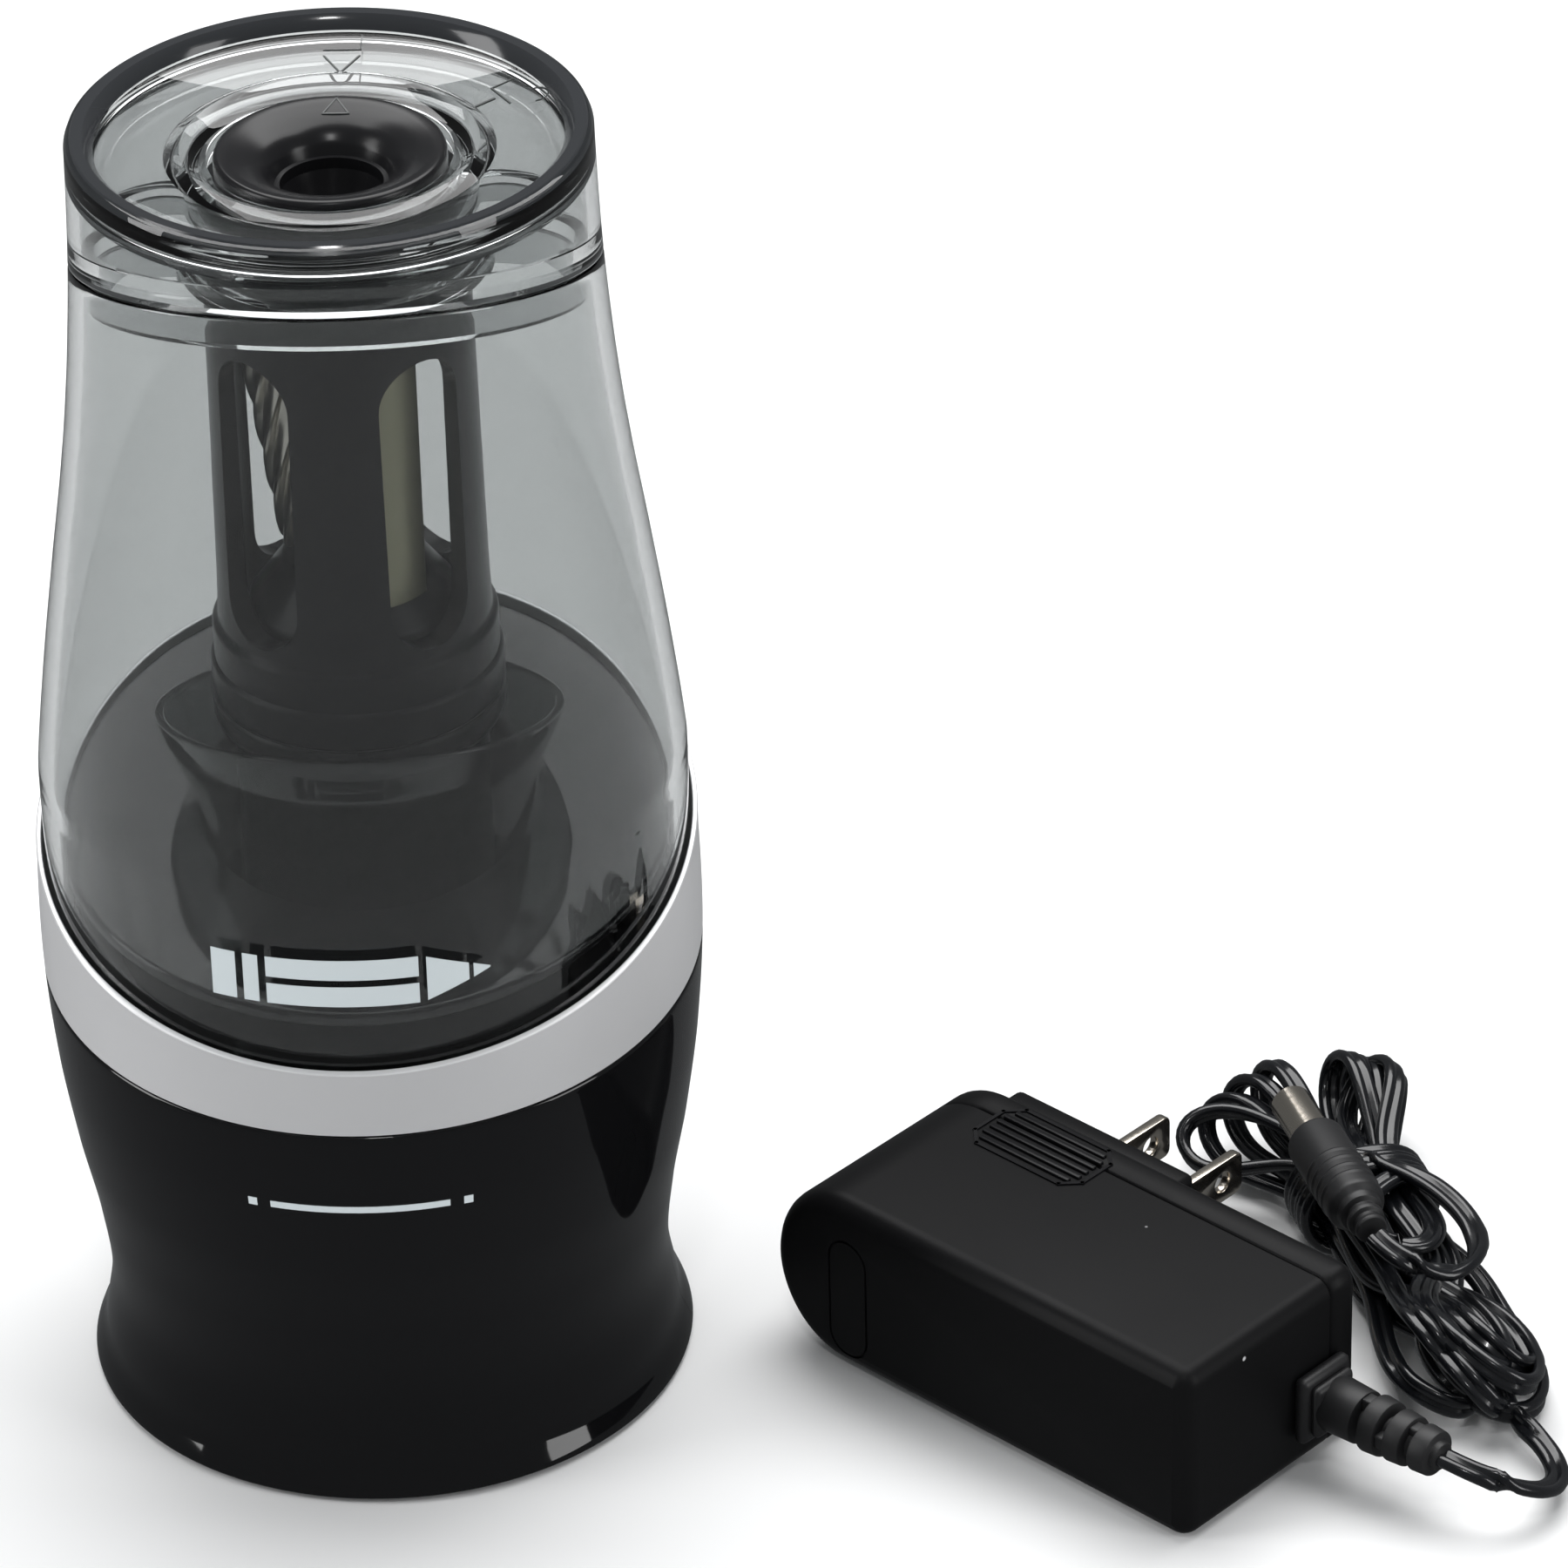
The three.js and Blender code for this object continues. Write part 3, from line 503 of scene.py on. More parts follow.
def carrier_piece():
    hub = [(3.35, 104), (13.4, 104), (13.4, 114), (8.6, 120.4), (3.3, 120.4), (2.6, 117.5), (3.35, 110)]
    foot = turned("hub", eased(hub, {1: 0.4, 2: 0.6, 3: 0.6}), 96)
    finished(foot, "black_plastic", "carrier")
    ring = [(5.2, 159.2), (13.4, 159.2), (13.4, 162.6), (5.2, 162.6)]
    parts = [turned("ring", eased(ring, {1: 0.4, 2: 0.4}), 96)]
    web = [(8.8, 112), (11.0, 112), (11.0, 160), (8.8, 160)]
    for start, stop in ((-110, -30), (40, 110)):
        parts.append(swept("web", lambda angle: web, 24, start, stop))
    finished(joined("carrier", parts), "zinc_casting", "carrier", "cutter_carrier")


def cutter_piece():
    """The fluted bar: saw-shaped flutes twisted along it, with an eased top and foot."""
    flutes, rows = CUTTER["flutes"], 90
    shape = [(3.05, 0.0), (3.25, 0.2), (3.6, 0.42), (3.85, 0.6), (3.9, 0.74), (3.7, 0.84), (3.2, 0.94)]
    sections = []
    for row in range(rows + 1):
        share = row / rows
        z = CUTTER["low"] + CUTTER["long"] * share
        end = min(1.0, 0.9 + min(share, 1 - share) * 6)
        twist = 2 * math.pi * CUTTER["turns"] * share
        ring = []
        for i in range(flutes):
            for radius, part in shape:
                a = 2 * math.pi * (i + part) / flutes + twist
                ring.append((radius * end * math.cos(a), radius * end * math.sin(a), z))
        sections.append(ring)
    bar = loft("cutter", sections, sharp=28)
    moved(bar, placed(CUTTER["x"], 0, CUTTER["z"], lean=-CUTTER["lean"]))
    finished(bar, "tool_steel", "cutter", "helical_cutter")


# ---- container ----
def receptacle_pieces():
    foot = (CONTAINER_FOOT, 0.0)
    shell = wall("container", container_radius, container_bore, foot, LID_SEAM, rows=64, ease=0.35)
    finished(shell, "clear_plastic", "container", "receptacle")
    lugs = []
    for angle in (30, 150, 270):
        lug = block("lug", (36, 38.9), (-4, 4), (60.8, CONTAINER_FOOT - 0.1), 0.4)
        lugs.append(moved(lug, Matrix.Rotation(rad(angle), 4, "Z")))
    finished(joined("lugs", lugs), "smoke_plastic", "container")

    def floor_profile(angle):
        slope = math.tan(rad(FLOOR_SEAM[1])) * math.sin(angle)
        bore = seam_height(FLOOR_SEAM, lambda z: collar_radius(z) + GAP, angle)
        hole = collar_radius(bore) + GAP
        heights = [FLOOR_SEAM[0] + slope * r for r in (FLOOR_RADIUS, hole)]
        top = [z + FLOOR_THICK for z in heights]
        corners = [
            (FLOOR_RADIUS, heights[0]), (FLOOR_RADIUS, top[0]), (hole + 0.45, top[1]), (hole, heights[1]),
        ]
        return eased(corners, {0: 0.5, 1: 0.7, 2: 0.3})
    finished(swept("shelf", floor_profile), "gloss_black", "container", "receptacle_floor")

    collar = wall(
        "collar", collar_radius, lambda z: collar_radius(z) - COLLAR_WALL,
        (73.0, 0.0), COLLAR_RIM, ease=0.4,
    )
    finished(collar, "smoke_plastic", "container", "shavings_collar")


def lid_piece():
    """The lid in one turned profile whose lower end follows the sloping seam."""
    def profile_at(angle):
        seam = seam_height(LID_SEAM, body_radius, angle, GAP)
        heights = [seam + (178.6 - seam) * k / 20 for k in range(21)]
        outside = [(body_radius(z), z) for z in heights]
        top = [
            (32.1, 179.4), (31.4, 179.7), (30.2, 179.6), (29.4, 178.9), (28.8, 177.7), (24.6, 176.9),
            (20.4, 176.3), (19.5, 176.9), (18.4, 177.2), (17.4, 176.8), (16.6, 176.1), (15.2, 175.8),
            (15.1, 174.1), (16.6, 173.8), (17.0, 173.2), (17.0, 162.0), (19.4, 162.0), (19.4, 164.6),
            (18.4, 165.2), (18.4, 174.2), (20.4, 174.5), (28.4, 175.4), (29.6, 175.2),
        ]
        lining = [body_radius(174.2) - WALL, body_radius(seam) - WALL]
        inside = [
            (lining[0], 174.2), (lining[1], seam + 3.4), (lining[1] - 1.6, seam + 2.8),
            (lining[1] - 1.6, seam - 5.0), (lining[1] - 0.4, seam - 5.2), (lining[1] - 0.4, seam + 0.2),
        ]
        return eased(outside + top + inside, {0: 0.35, 36: 0.4, 39: 0.5, 40: 0.5, 43: 0.8})
    finished(swept("cover", profile_at), "clear_plastic", "container", "lid")
    skin = [(32.3, 178.9), (31.5, 179.8), (30.1, 179.75), (29.3, 179.0), (28.9, 178.1)]
    back = [(r - 0.06, z - 0.12) for r, z in reversed(skin)]
    finished(turned("rim_band", skin + back, 144), "smoke_plastic", "container", material=RIM)


def ribbon(points, width, low, high, closed=False):
    """A thin raised line along flat points, as a list of strokes."""
    strokes = []
    pairs = list(zip(points, points[1:] + points[:1])) if closed else list(zip(points, points[1:]))
    for (x0, y0), (x1, y1) in pairs:
        long = math.hypot(x1 - x0, y1 - y0)
        stroke = block("stroke", (-width / 2, long + width / 2), (-width / 2, width / 2), (low, high))
        turn = math.degrees(math.atan2(y1 - y0, x1 - x0))
        strokes.append(moved(stroke, placed(x0, y0, 0, turn)))
    return strokes


def arc_points(x, y, radius, start, stop, steps=10):
    angles = [rad(start + (stop - start) * k / steps) for k in range(steps + 1)]
    return [(x + radius * math.cos(a), y + radius * math.sin(a)) for a in angles]


def rising(slope):
    """Lifts points in proportion to how far back they are."""
    shear = Matrix.Identity(4)
    shear[2][1] = slope
    return shear


def lid_marks():
    """Strokes of moulded marks: a padlock and an arrow at the back, an open padlock to the right."""
    low, high, line = 173.2, 173.5, 0.2
    closed = ribbon([(-2.3, 25.2), (2.3, 25.2), (2.3, 28.2)], line, low, high)
    arrow = ribbon([(-2.2, 23.9), (0, 20.4), (2.2, 23.9)], line, low, high)
    opened = ribbon([(-2.3, 27.0), (-2.3, 24.0), (2.3, 24.0)], line, low, high)
    opened += ribbon(arc_points(3.0, 27.4, 1.5, -30, 170), line, low, high)
    opened += ribbon([(0, 20.4), (0, 23.0)], line * 1.6, low, high)
    for piece in closed + arrow + opened:
        moved(piece, rising(0.143))
    for piece in opened:
        moved(piece, Matrix.Rotation(rad(-58), 4, "Z"))
    marks = joined("lid_marks", closed + arrow + opened)
    finished(marks, "smoke_plastic", "container", material=RELIEF_LINE)
    pointer = ribbon([(-1.6, 10.6), (1.6, 10.6), (0, 13.2)], 0.18, 172.3, 172.6, closed=True)
    finished(moved(joined("guide_mark", pointer), rising(0.3)), "satin_black", "base", material=RELIEF_LINE)


def print_on(name, slices, outside, height, body, slot):
    """A pale print on a turned wall: slices are (distance along, lowest, highest) from its middle."""
    rows = 6
    sections = []
    for along, low, high in slices:
        angle = FRONT + along / outside(height)
        column = []
        for k in range(rows + 1):
            z = height + low + (high - low) * k / rows
            column.append(((outside(z) + 0.1) * math.cos(angle), (outside(z) + 0.1) * math.sin(angle), z))
        for k in reversed(range(rows + 1)):
            z = height + low + (high - low) * k / rows
            column.append(((outside(z) + 0.03) * math.cos(angle), (outside(z) + 0.03) * math.sin(angle), z))
        sections.append(column)
    return finished(loft(name, sections), slot, body, material=PAINT)


def even(start, stop, low, high, steps=12):
    """Slices of a bar whose lower and upper edges are given at its two ends."""
    made = []
    for k in range(steps + 1):
        t = k / steps
        edges = [ends[0] + (ends[1] - ends[0]) * t for ends in ((start, stop), low, high)]
        made.append(tuple(edges))
    return made


def prints():
    """A plain pencil picture where the container carries its print, and a plain mark on the base."""
    bars = {
        "print_eraser": even(-17.5, -14.2, (-3.4, -3.4), (3.4, 3.4)),
        "print_ferrule": even(-13.2, -11.2, (-3.4, -3.4), (3.4, 3.4)),
        "print_barrel_low": even(-10.2, 9.0, (-3.4, -3.4), (-0.5, -0.5)),
        "print_barrel_high": even(-10.2, 9.0, (0.5, 0.5), (3.4, 3.4)),
        "print_cone": even(10.0, 15.4, (-3.2, -1.2), (3.2, 1.2)),
        "print_point": even(16.0, 18.2, (-1.0, -0.1), (1.0, 0.1)),
    }
    for name, slices in bars.items():
        print_on(name, slices, container_radius, PRINT_HEIGHT, "container", "clear_plastic")
    marks = {
        "mark_line": even(-11.5, 11.5, (-0.5, -0.5), (0.5, 0.5)),
        "mark_dot_left": even(-14.5, -13.3, (-0.6, -0.6), (0.6, 0.6), 3),
        "mark_dot_right": even(13.3, 14.5, (-0.6, -0.6), (0.6, 0.6), 3),
    }
    for name, slices in marks.items():
        print_on(name, slices, body_radius, MARK_HEIGHT, "base", "gloss_black")


# ---- wall adapter ----
TO_ADAPTER = placed(ADAPTER["x"], ADAPTER["y"], 0, ADAPTER["turn"])


def adapter_outline(inset):
    """Side view of the adapter as (along, up): square right end, bull nose on the left."""
    long, high, nose, corner = ADAPTER["long"], ADAPTER["high"], 12.0, 2.4
    points = []
    for cx, cz, start in ((-corner, corner, -90), (-corner, high - corner, 0)):
        for k in range(7):
            a = rad(start + 90 * k / 6)
            size = max(corner - inset, 0.2)
            points.append((cx + size * math.cos(a), cz + size * math.sin(a)))
    for k in range(33):
        a = rad(90 + 180 * k / 32)
        x = -long + nose + (nose - inset) * math.cos(a)
        points.append((x, high / 2 + (high / 2 - inset) * math.sin(a)))
    return points


def adapter_shell(name, stations):
    """A case half from (distance back, inset) stations."""
    sections = [[(x, y, z) for x, z in adapter_outline(inset)] for y, inset in stations]
    return moved(loft(name, sections, sharp=45), TO_ADAPTER)


def rounding(start, direction, size, steps=6):
    """Stations that round an edge off: distance and inset, from a face towards the side."""
    made = []
    for k in range(steps + 1):
        a = rad(90 * k / steps)
        made.append((start + direction * size * (1 - math.sin(a)), size * (1 - math.cos(a))))
    return made


def adapter_cases():
    deep, cover, groove = ADAPTER["deep"], ADAPTER["cover"], 0.35
    seam = deep - cover
    front = [(y, inset) for y, inset in reversed(rounding(0.0, 1, 2.8))]
    front = sorted(front) + [(seam - 0.4, 0.0), (seam, groove)]
    case = adapter_shell("adapter_case", front)
    cut(case, grip_groove(), 40)
    finished(case, "satin_black", "adapter", "adapter_front_case")
    back = [(seam + 0.05, groove), (seam + 0.4, 0.0)] + sorted(rounding(deep, -1, 1.6))
    finished(adapter_shell("adapter_cover", back), "satin_black", "adapter", "adapter_back_cover")


def stadium(x, z, wide, tall, steps=12):
    """A round-ended upright outline as (along, up) points."""
    half = wide / 2
    points = []
    for middle, start in ((z + tall / 2 - half, 0), (z - tall / 2 + half, 180)):
        for k in range(steps + 1):
            a = rad(start + 180 * k / steps)
            points.append((x + half * math.cos(a), middle + half * math.sin(a)))
    return points


def grip_groove():
    """The oval line cut into the near face by the bull nose."""
    outer, inner = stadium(-58.4, 11.2, 6.8, 18.4), stadium(-58.4, 11.2, 6.1, 17.7)
    sections = []
    for i in range(len(outer)):
        (xo, zo), (xi, zi) = outer[i], inner[i]
        sections.append([(xo, -1, zo), (xo, 0.45, zo), (xi, 0.45, zi), (xi, -1, zi)])
    return moved(loft("groove", sections, looped=True), TO_ADAPTER)


def grip_patch():
    """The eight-sided patch of ribs on the top, by the seam."""
    x0, x1, y0, y1, chamfer, top = -57.6, -38.8, 22.2, 32.2, 2.2, ADAPTER["high"]
    outline = [
        (x0 + chamfer, y0), (x1 - chamfer, y0), (x1, y0 + chamfer), (x1, y1 - chamfer),
        (x1 - chamfer, y1), (x0 + chamfer, y1), (x0, y1 - chamfer), (x0, y0 + chamfer),
    ]
    parts = ribbon(outline, 0.5, top - 0.3, top + 0.22, closed=True)
    pitch = (y1 - y0) / 7
    for i in range(6):
        y = y0 + pitch * (i + 1)
        short = 1.6 if i in (0, 5) else 0.9
        across, up = (y - 0.42, y + 0.42), (top - 0.3, top + 0.38)
        parts.append(block("rib", (x0 + short, x1 - short), across, up, 0.18))
    patch = moved(joined("adapter_grip", parts), TO_ADAPTER)
    finished(patch, "satin_black", "adapter", material=FINISH["black_plastic"])


def blade_pieces():
    face = ADAPTER["deep"] + 4.2
    pad = block("blade_mount", (-62, -31), (ADAPTER["deep"] + 0.05, face), (3.0, 24.0), 1.2)
    finished(moved(pad, TO_ADAPTER), "satin_black", "adapter", "blade_pad")
    for name, side in (("blade_left", -0.5), ("blade_right", 0.5)):
        x, half, tall = BLADE["x"] + side * BLADE["spread"], BLADE["thick"] / 2, BLADE["wide"] / 2
        tip = face + BLADE["long"] - 0.4
        outline = eased([(face - 3, -tall), (tip, -tall), (tip, tall), (face - 3, tall)], {1: 1.3, 2: 1.3})
        sections = [[(x + dx, y, BLADE["z"] + z) for y, z in outline] for dx in (-half, half)]
        blade = loft("blade", sections)
        hole = turned("hole", [(0, -3), (1.5, -3), (1.5, 3), (0, 3)], 32)
        moved(hole, Matrix.Translation((x, tip - 4, BLADE["z"])) @ Matrix.Rotation(rad(90), 4, "Y"))
        cut(blade, hole)
        soften(blade, 0.2, 2)
        blade.name = "prong" + name[5:]
        finished(moved(blade, TO_ADAPTER), "nickel", "adapter", name)


def relief_piece():
    """Square flange, a thick neck, then rings that get smaller, joined by bridges."""
    y, z, long = RELIEF["y"], RELIEF["z"], RELIEF["long"]
    flange = block("flange", (0.1, 2.2), (y - 5, y + 4.4), (z - 5, z + 5), 0.9)
    inner = block("inner", (2.0, 3.6), (y - 3.9, y + 3.4), (z - 3.9, z + 3.9), 0.8)
    profile = [(0, 3.0), (3.9, 3.0), (3.7, 8.2), (2.0, 8.4)]
    rings, at, size = 3, 9.6, 4.0
    for i in range(rings):
        profile += [(2.0, at), (size, at + 0.1), (size - 0.2, at + 2.6), (2.0, at + 2.7)]
        at += 3.9
        size -= 0.35
    profile += [(1.9, long), (0, long)]
    neck = turned("neck", eased(profile, {k: 0.25 for k in range(1, len(profile) - 1)}, 2), 48)
    moved(neck, Matrix.Translation((0, y, z)) @ Matrix.Rotation(rad(90), 4, "Y"))
    parts = [flange, inner, neck]
    for i in range(rings):
        x = 8.2 + i * 3.9
        reach = 3.6 - i * 0.35
        if i % 2:
            parts.append(block("bridge", (x, x + 1.6), (y - reach, y + reach), (z - 1.0, z + 1.0), 0.3))
        else:
            parts.append(block("bridge", (x, x + 1.6), (y - 1.0, y + 1.0), (z - reach, z + reach), 0.3))
    relief = moved(joined("relief", parts), TO_ADAPTER)
    return finished(relief, "rubber", "adapter", "strain_relief")


# ---- cord ----
TO_HANK = TO_ADAPTER @ placed(HANK["x"], HANK["y"], 0, HANK["turn"])
WAIST = -14.0
SIDE, UP, ALONG = Vector((0, 1, 0)), Vector((0, 0, 1)), Vector((1, 0, 0))


def via(x, y, z, across):
    """A point of the lead's route, and the direction across the flat cord there."""
    return Vector((x, y, z)), across


def slot_place(strand):
    """Where a strand passes under the wraps: rows on top of each other, two turns to a row."""
    turn, second = divmod(strand, 2)
    row, half = divmod(turn, 2)
    return (-5.1 + 6.8 * half + 3.4 * second, 3.4 + 2.1 * row)


def fold(middle, outward, side, radius):
    """Three points round a loop at the end of the hank, and the direction across the flat cord."""
    across = outward.cross(side).normalized()
    places = [middle - side * radius, middle + outward * radius, middle + side * radius]
    return [(place, across) for place in places]


BACK_FOLDS = [  # direction, tip-up angle, height of the middle, reach
    (-26, 62, 7.0, 24), (24, 66, 7.0, 22.5), (-14, 70, 8.2, 24.5), (13, 70, 8.2, 24),
    (-3, 78, 9.4, 24.5), (4, 70, 10.6, 22), (-44, 35, 8.6, 23), (18, 45, 10.2, 21.5),
]
FRONT_FOLDS = [  # along, across, tip-up angle, height of the middle, radius
    (29, 3.4, 12, 3.4, 6.0), (26.5, -3.6, 20, 3.8, 5.5), (31, -0.5, 50, 6.6, 5.0),
    (25, 4.6, 40, 8.4, 6.0), (30, 2.8, 30, 9.0, 6.0), (24, -3.4, 55, 9.2, 5.2), (27, 0.6, 35, 9.6, 5.4),
]


def hank_points():
    """The hank's route in its own frame: (place, direction across the flat cord) pairs."""
    points = [via(33.5, 3.0, 3.2, UP), via(22, 5.4, 2.2, UP)]
    for turn, (yaw, tip, height, reach) in enumerate(BACK_FOLDS):
        near, far = slot_place(2 * turn), slot_place(2 * turn + 1)
        spread = 1.25 if turn < 6 else 1.0
        points.append(via(5, near[0] * spread + 0.8, near[1] * 0.9, SIDE))
        points.append(via(-7.5, near[0], near[1], SIDE))
        points.append(via(WAIST - 5, near[0], near[1], SIDE))
        outward = Vector((-math.cos(rad(yaw)), math.sin(rad(yaw)), 0.08)).normalized()
        flat = Vector((math.sin(rad(yaw)), math.cos(rad(yaw)), 0))
        side = (flat * math.cos(rad(tip)) + UP * math.sin(rad(tip))).normalized()
        middle = Vector((WAIST - 4, (near[0] + far[0]) / 2, 0)) + outward * (reach - 5)
        middle.z = height
        points += fold(middle, outward, side, 4.6)
        points.append(via(WAIST - 5, far[0], far[1] + 0.3, SIDE))
        points.append(via(-7.5, far[0], far[1], SIDE))
        if turn < len(FRONT_FOLDS):
            points += front_fold(turn, far)
    return points


def front_fold(turn, far):
    along, across, tip, height, radius = FRONT_FOLDS[turn]
    side = Vector((0, -math.cos(rad(tip)), math.sin(rad(tip))))
    middle = Vector((along, across, max(height, radius * abs(side.z) + 1.2)))
    points = [via(6, far[0] * 1.3 + across * 0.4, far[1], SIDE)]
    lead_in, lead_out = (middle - side * radius, middle + side * radius)
    points.append(via(17, lead_in.y * 0.9 + 0.4, lead_in.z * 0.7 + far[1] * 0.3, SIDE))
    points += fold(middle, ALONG, side, radius)
    points.append(via(17, lead_out.y * 0.9 - 0.4, lead_out.z * 0.7 + far[1] * 0.3, SIDE))
    return points


def wrap_points():
    """Three turns of cord round the waist, then a loose loop on top that runs into the plug."""
    corner = [
        (-5.5, 11.9), (5.5, 11.9), (8.9, 9.2), (9.0, 4.2),
        (6.4, 1.0), (-6.4, 1.0), (-9.0, 4.2), (-8.9, 9.2),
    ]
    points = [
        via(1.0, 4.8, 10.6, SIDE), via(6.2, 1.0, 11.4, ALONG),
        via(3.4, -4.2, 11.9, SIDE), via(-4.0, -4.6, 12.1, SIDE),
    ]
    for k in range(1, 3 * len(corner) + 1):
        across, up = corner[k % len(corner)]
        points.append(via(WAIST + 3.5 - 7.0 * k / (3 * len(corner)), across, up, ALONG))
    points += [
        via(-13, 1.5, 12.6, Vector((0.7, 0.7, 0))), via(-5, 6.5, 13.0, SIDE + ALONG),
        via(4, 8.6, 12.2, SIDE), via(12, 6.4, 12.4, SIDE + UP), via(15.8, 0.6, 13.6, ALONG),
        via(13.6, -5.2, 16.0, SIDE), via(10, -7.0, 17.2, SIDE), via(8.3, -7.0, 17.3, SIDE),
    ]
    return points


def lead_points():
    """From the strain relief to the hank, in the adapter's frame."""
    y, z, long = RELIEF["y"], RELIEF["z"], RELIEF["long"]
    return [
        via(long - 1.5, y, z, SIDE), via(long + 0.6, y, z, SIDE), via(26.6, 27.5, 8.8, SIDE),
        via(29.5, 31.0, 6.6, ALONG), via(30.5, 35.1, 4.2, ALONG), via(29.3, 39.7, 2.7, ALONG),
        via(26.0, 43.0, 2.4, SIDE), via(22.4, 44.2, 3.4, SIDE),
    ]


def spline(points, spacing):
    """Places and across directions at even distances on a smooth curve through the points."""
    fine = []
    for i in range(len(points) - 1):
        four = [points[max(0, min(len(points) - 1, i + k))] for k in (-1, 0, 1, 2)]
        for step in range(24):
            fine.append(between(four, step / 24))
    fine.append(points[-1])
    made, left = [fine[0]], spacing
    for (a, across_a), (b, across_b) in zip(fine, fine[1:]):
        long = (b - a).length
        done = 0.0
        while long - done >= left:
            done += left
            t = done / long
            made.append((a.lerp(b, t), across_a.lerp(across_b, t)))
            left = spacing
        left -= long - done
    return made


def between(four, t):
    """Centripetal Catmull-Rom between the second and third of four points."""
    places = [place for place, _ in four]
    knots = [0.0]
    for a, b in zip(places, places[1:]):
        knots.append(knots[-1] + max((b - a).length, 1e-3) ** 0.5)
    at = knots[1] + (knots[2] - knots[1]) * t

    def mix(a, b, low, high):
        return a * ((high - at) / (high - low)) + b * ((at - low) / (high - low))
    first = [mix(places[i], places[i + 1], knots[i], knots[i + 1]) for i in range(3)]
    second = [mix(first[i], first[i + 1], knots[i], knots[i + 2]) for i in range(2)]
    across = four[1][1].lerp(four[2][1], t)
    return mix(second[0], second[1], knots[1], knots[2]), across


def relaxed(line, passes=10):
    """Evens out the bends of a sampled line."""
    for _ in range(passes):
        inner = [
            (here[0] * 0.5 + (before[0] + after[0]) * 0.25, here[1])
            for before, here, after in zip(line, line[1:], line[2:])
        ]
        line = [line[0], *inner, line[-1]]
    return line


def one_way(points):
    """Turns each across direction to the side nearest to the one before it."""
    made = [points[0]]
    for place, across in points[1:]:
        before = made[-1][1]
        made.append((place, across if across.dot(before) >= 0 else -across))
    return made


def twin_section(steps=8):
    """Outline of the flat two-core lead: two round cores side by side."""
    radius = CORD["thick"] / 2
    offset = CORD["wide"] / 2 - radius
    reach = math.degrees(math.acos(-offset / radius)) * 0.999
    points = []
    for centre, middle in ((offset, 0), (-offset, 180)):
        for k in range(steps + 1):
            a = rad(middle - reach + 2 * reach * k / steps)
            points.append((centre + radius * math.cos(a), radius * math.sin(a)))
    return points


def cord_pieces(relief):
    def carried(points, matrix):
        turn = matrix.to_3x3()
        return [(matrix @ place, turn @ across) for place, across in points]
    route = carried(lead_points(), TO_ADAPTER) + carried(hank_points() + wrap_points(), TO_HANK)
    line = relaxed(spline(one_way(route), 1.1))
    places = [place for place, _ in line]
    section = twin_section()
    sections = []
    for i, (place, across) in enumerate(line):
        ahead = (places[min(i + 1, len(places) - 1)] - places[max(i - 1, 0)]).normalized()
        wide = (across - ahead * across.dot(ahead)).normalized()
        thin = ahead.cross(wide)
        reach = abs(wide.z) * (CORD["wide"] - CORD["thick"]) / 2 + CORD["thick"] / 2
        place.z = max(place.z, reach)
        sections.append([tuple(place + wide * a + thin * b) for a, b in section])
    flex = loft("flex", sections, sharp=60)
    finished(flex, "cord_sheath", "adapter", "adapter_cord", "cord_hank")
    plug, barrel = plug_pieces()


def plug_pieces():
    lying = TO_HANK @ placed(PLUG["u"], PLUG["v"], HANK["high"] + PLUG_LIFT, 180, 90)
    body = [
        (0, -14), (2.0, -14), (2.2, -13.4), (1.9, -13.0), (1.9, -12.2), (2.5, -12.0), (2.6, -11.2),
        (2.1, -11.0), (2.1, -10.2), (2.9, -10.0), (3.1, -9.0), (3.9, -8.2), (4.0, -7.6), (4.0, 7.4),
        (3.6, 8.0), (0, 8.0),
    ]
    grip = turned("plug_grip", eased(body, {k: 0.2 for k in range(1, 15)}, 2), 48)
    rings = []
    for z in (-6, -4.2, -2.4, -0.6):
        rib = [(3.8, z), (4.0, z), (4.15, z + 0.4), (4.0, z + 0.8), (3.8, z + 0.8)]
        rings.append(turned("ring", rib, 48))
    grip = moved(joined("plug_grip", [grip, *rings]), lying)
    finished(grip, "rubber", "adapter", "plug_body")
    sleeve = [(1.1, 8.0), (2.75, 8.0), (2.75, 17.4), (2.45, 17.8), (1.4, 17.8), (1.1, 17.4)]
    barrel = moved(turned("plug_sleeve", sleeve, 48), lying)
    finished(barrel, "nickel", "adapter", "plug_barrel")
    return grip, barrel


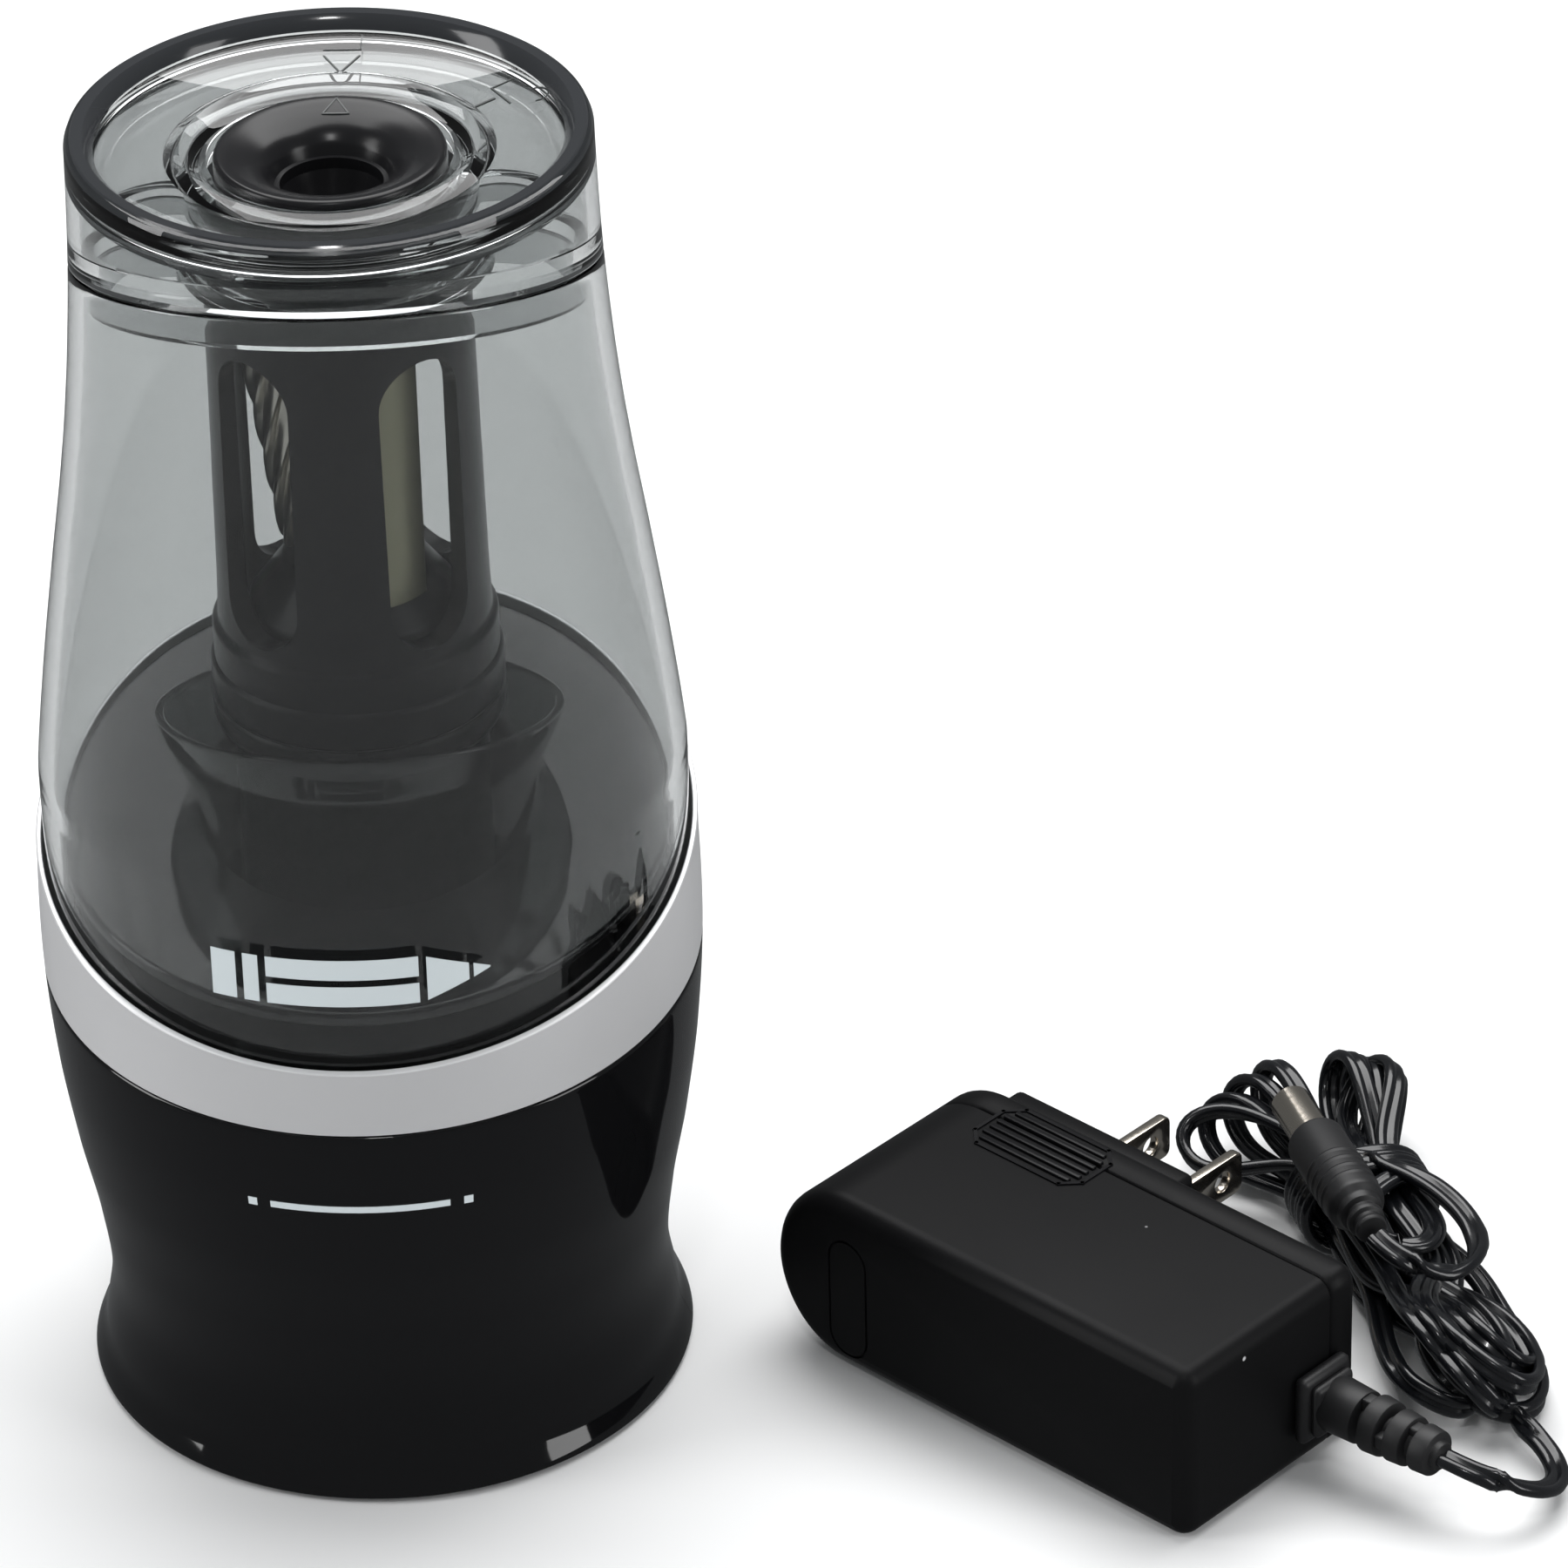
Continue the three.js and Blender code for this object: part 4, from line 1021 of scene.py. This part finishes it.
# ---- camera, floor and light ----
def camera():
    lens = bpy.data.cameras.new("camera")
    lens.lens = 192.0
    lens.sensor_width = 36.0
    lens.clip_start = 0.05
    lens.clip_end = 20.0
    made = bpy.data.objects.new("camera", lens)
    bpy.context.scene.collection.objects.link(made)
    right = Vector((0.99963571, 0.01706325, -0.02091167))
    up = Vector((0.00869807, 0.52979063, 0.84808386))
    back = right.cross(up).normalized()
    turn = Matrix((right, up, back)).transposed().to_4x4()
    made.matrix_world = Matrix.Translation((0.08089118, -0.90636795, 0.65023982)) @ turn
    bpy.context.scene.camera = made


def lamp(name, place, aim, size, power, colour=(1, 1, 1)):
    data = bpy.data.lights.new(name, "AREA")
    data.shape = "RECTANGLE"
    data.size, data.size_y = size
    data.energy = power
    data.color = colour
    made = bpy.data.objects.new(name, data)
    bpy.context.scene.collection.objects.link(made)
    made.location = place
    made.rotation_mode = "QUATERNION"
    made.rotation_quaternion = (Vector(aim) - Vector(place)).to_track_quat("-Z", "Y")
    return made


def studio():
    corners = [(-4000, -4000, 0), (4000, -4000, 0), (4000, 4000, 0), (-4000, 4000, 0)]
    ground = mesh_object("ground", corners, [(0, 1, 2, 3)])
    ground.location.z = -0.0002
    ground.visible_glossy = False
    ground.data.materials.append(solid_finish("paper", (0.9, 0.9, 0.9), 0.9, relief=0.0))
    world = bpy.data.worlds.new("studio")
    world.use_nodes = True
    world.node_tree.nodes["Background"].inputs["Color"].default_value = (0.9, 0.93, 0.95, 1)
    nodes, links = world.node_tree.nodes, world.node_tree.links
    path = nodes.new("ShaderNodeLightPath")
    dimmed = nodes.new("ShaderNodeMapRange")
    dimmed.inputs["To Min"].default_value = 0.34
    dimmed.inputs["To Max"].default_value = 0.14
    links.new(path.outputs["Is Glossy Ray"], dimmed.inputs["Value"])
    links.new(dimmed.outputs["Result"], nodes["Background"].inputs["Strength"])
    bpy.context.scene.world = world
    middle = (0.03, 0, 0.08)
    lamp("overhead", (0.1, 0.45, 1.15), middle, (1.3, 1.0), 18)
    lamp("left_box", (-0.95, -0.2, 0.45), middle, (0.35, 0.9), 5)
    lamp("right_box", (1.0, -0.45, 0.4), middle, (0.35, 0.9), 4)
    lamp("small_front", (0.02, -0.75, 1.25), middle, (0.14, 0.06), 1.6)
    bpy.context.scene.view_settings.view_transform = "Standard"


camera()
studio()
plain_nodes()
base_pieces()
cage_pieces()
carrier_piece()
cutter_piece()
receptacle_pieces()
lid_piece()
lid_marks()
prints()
adapter_cases()
grip_patch()
blade_pieces()
cord_pieces(relief_piece())
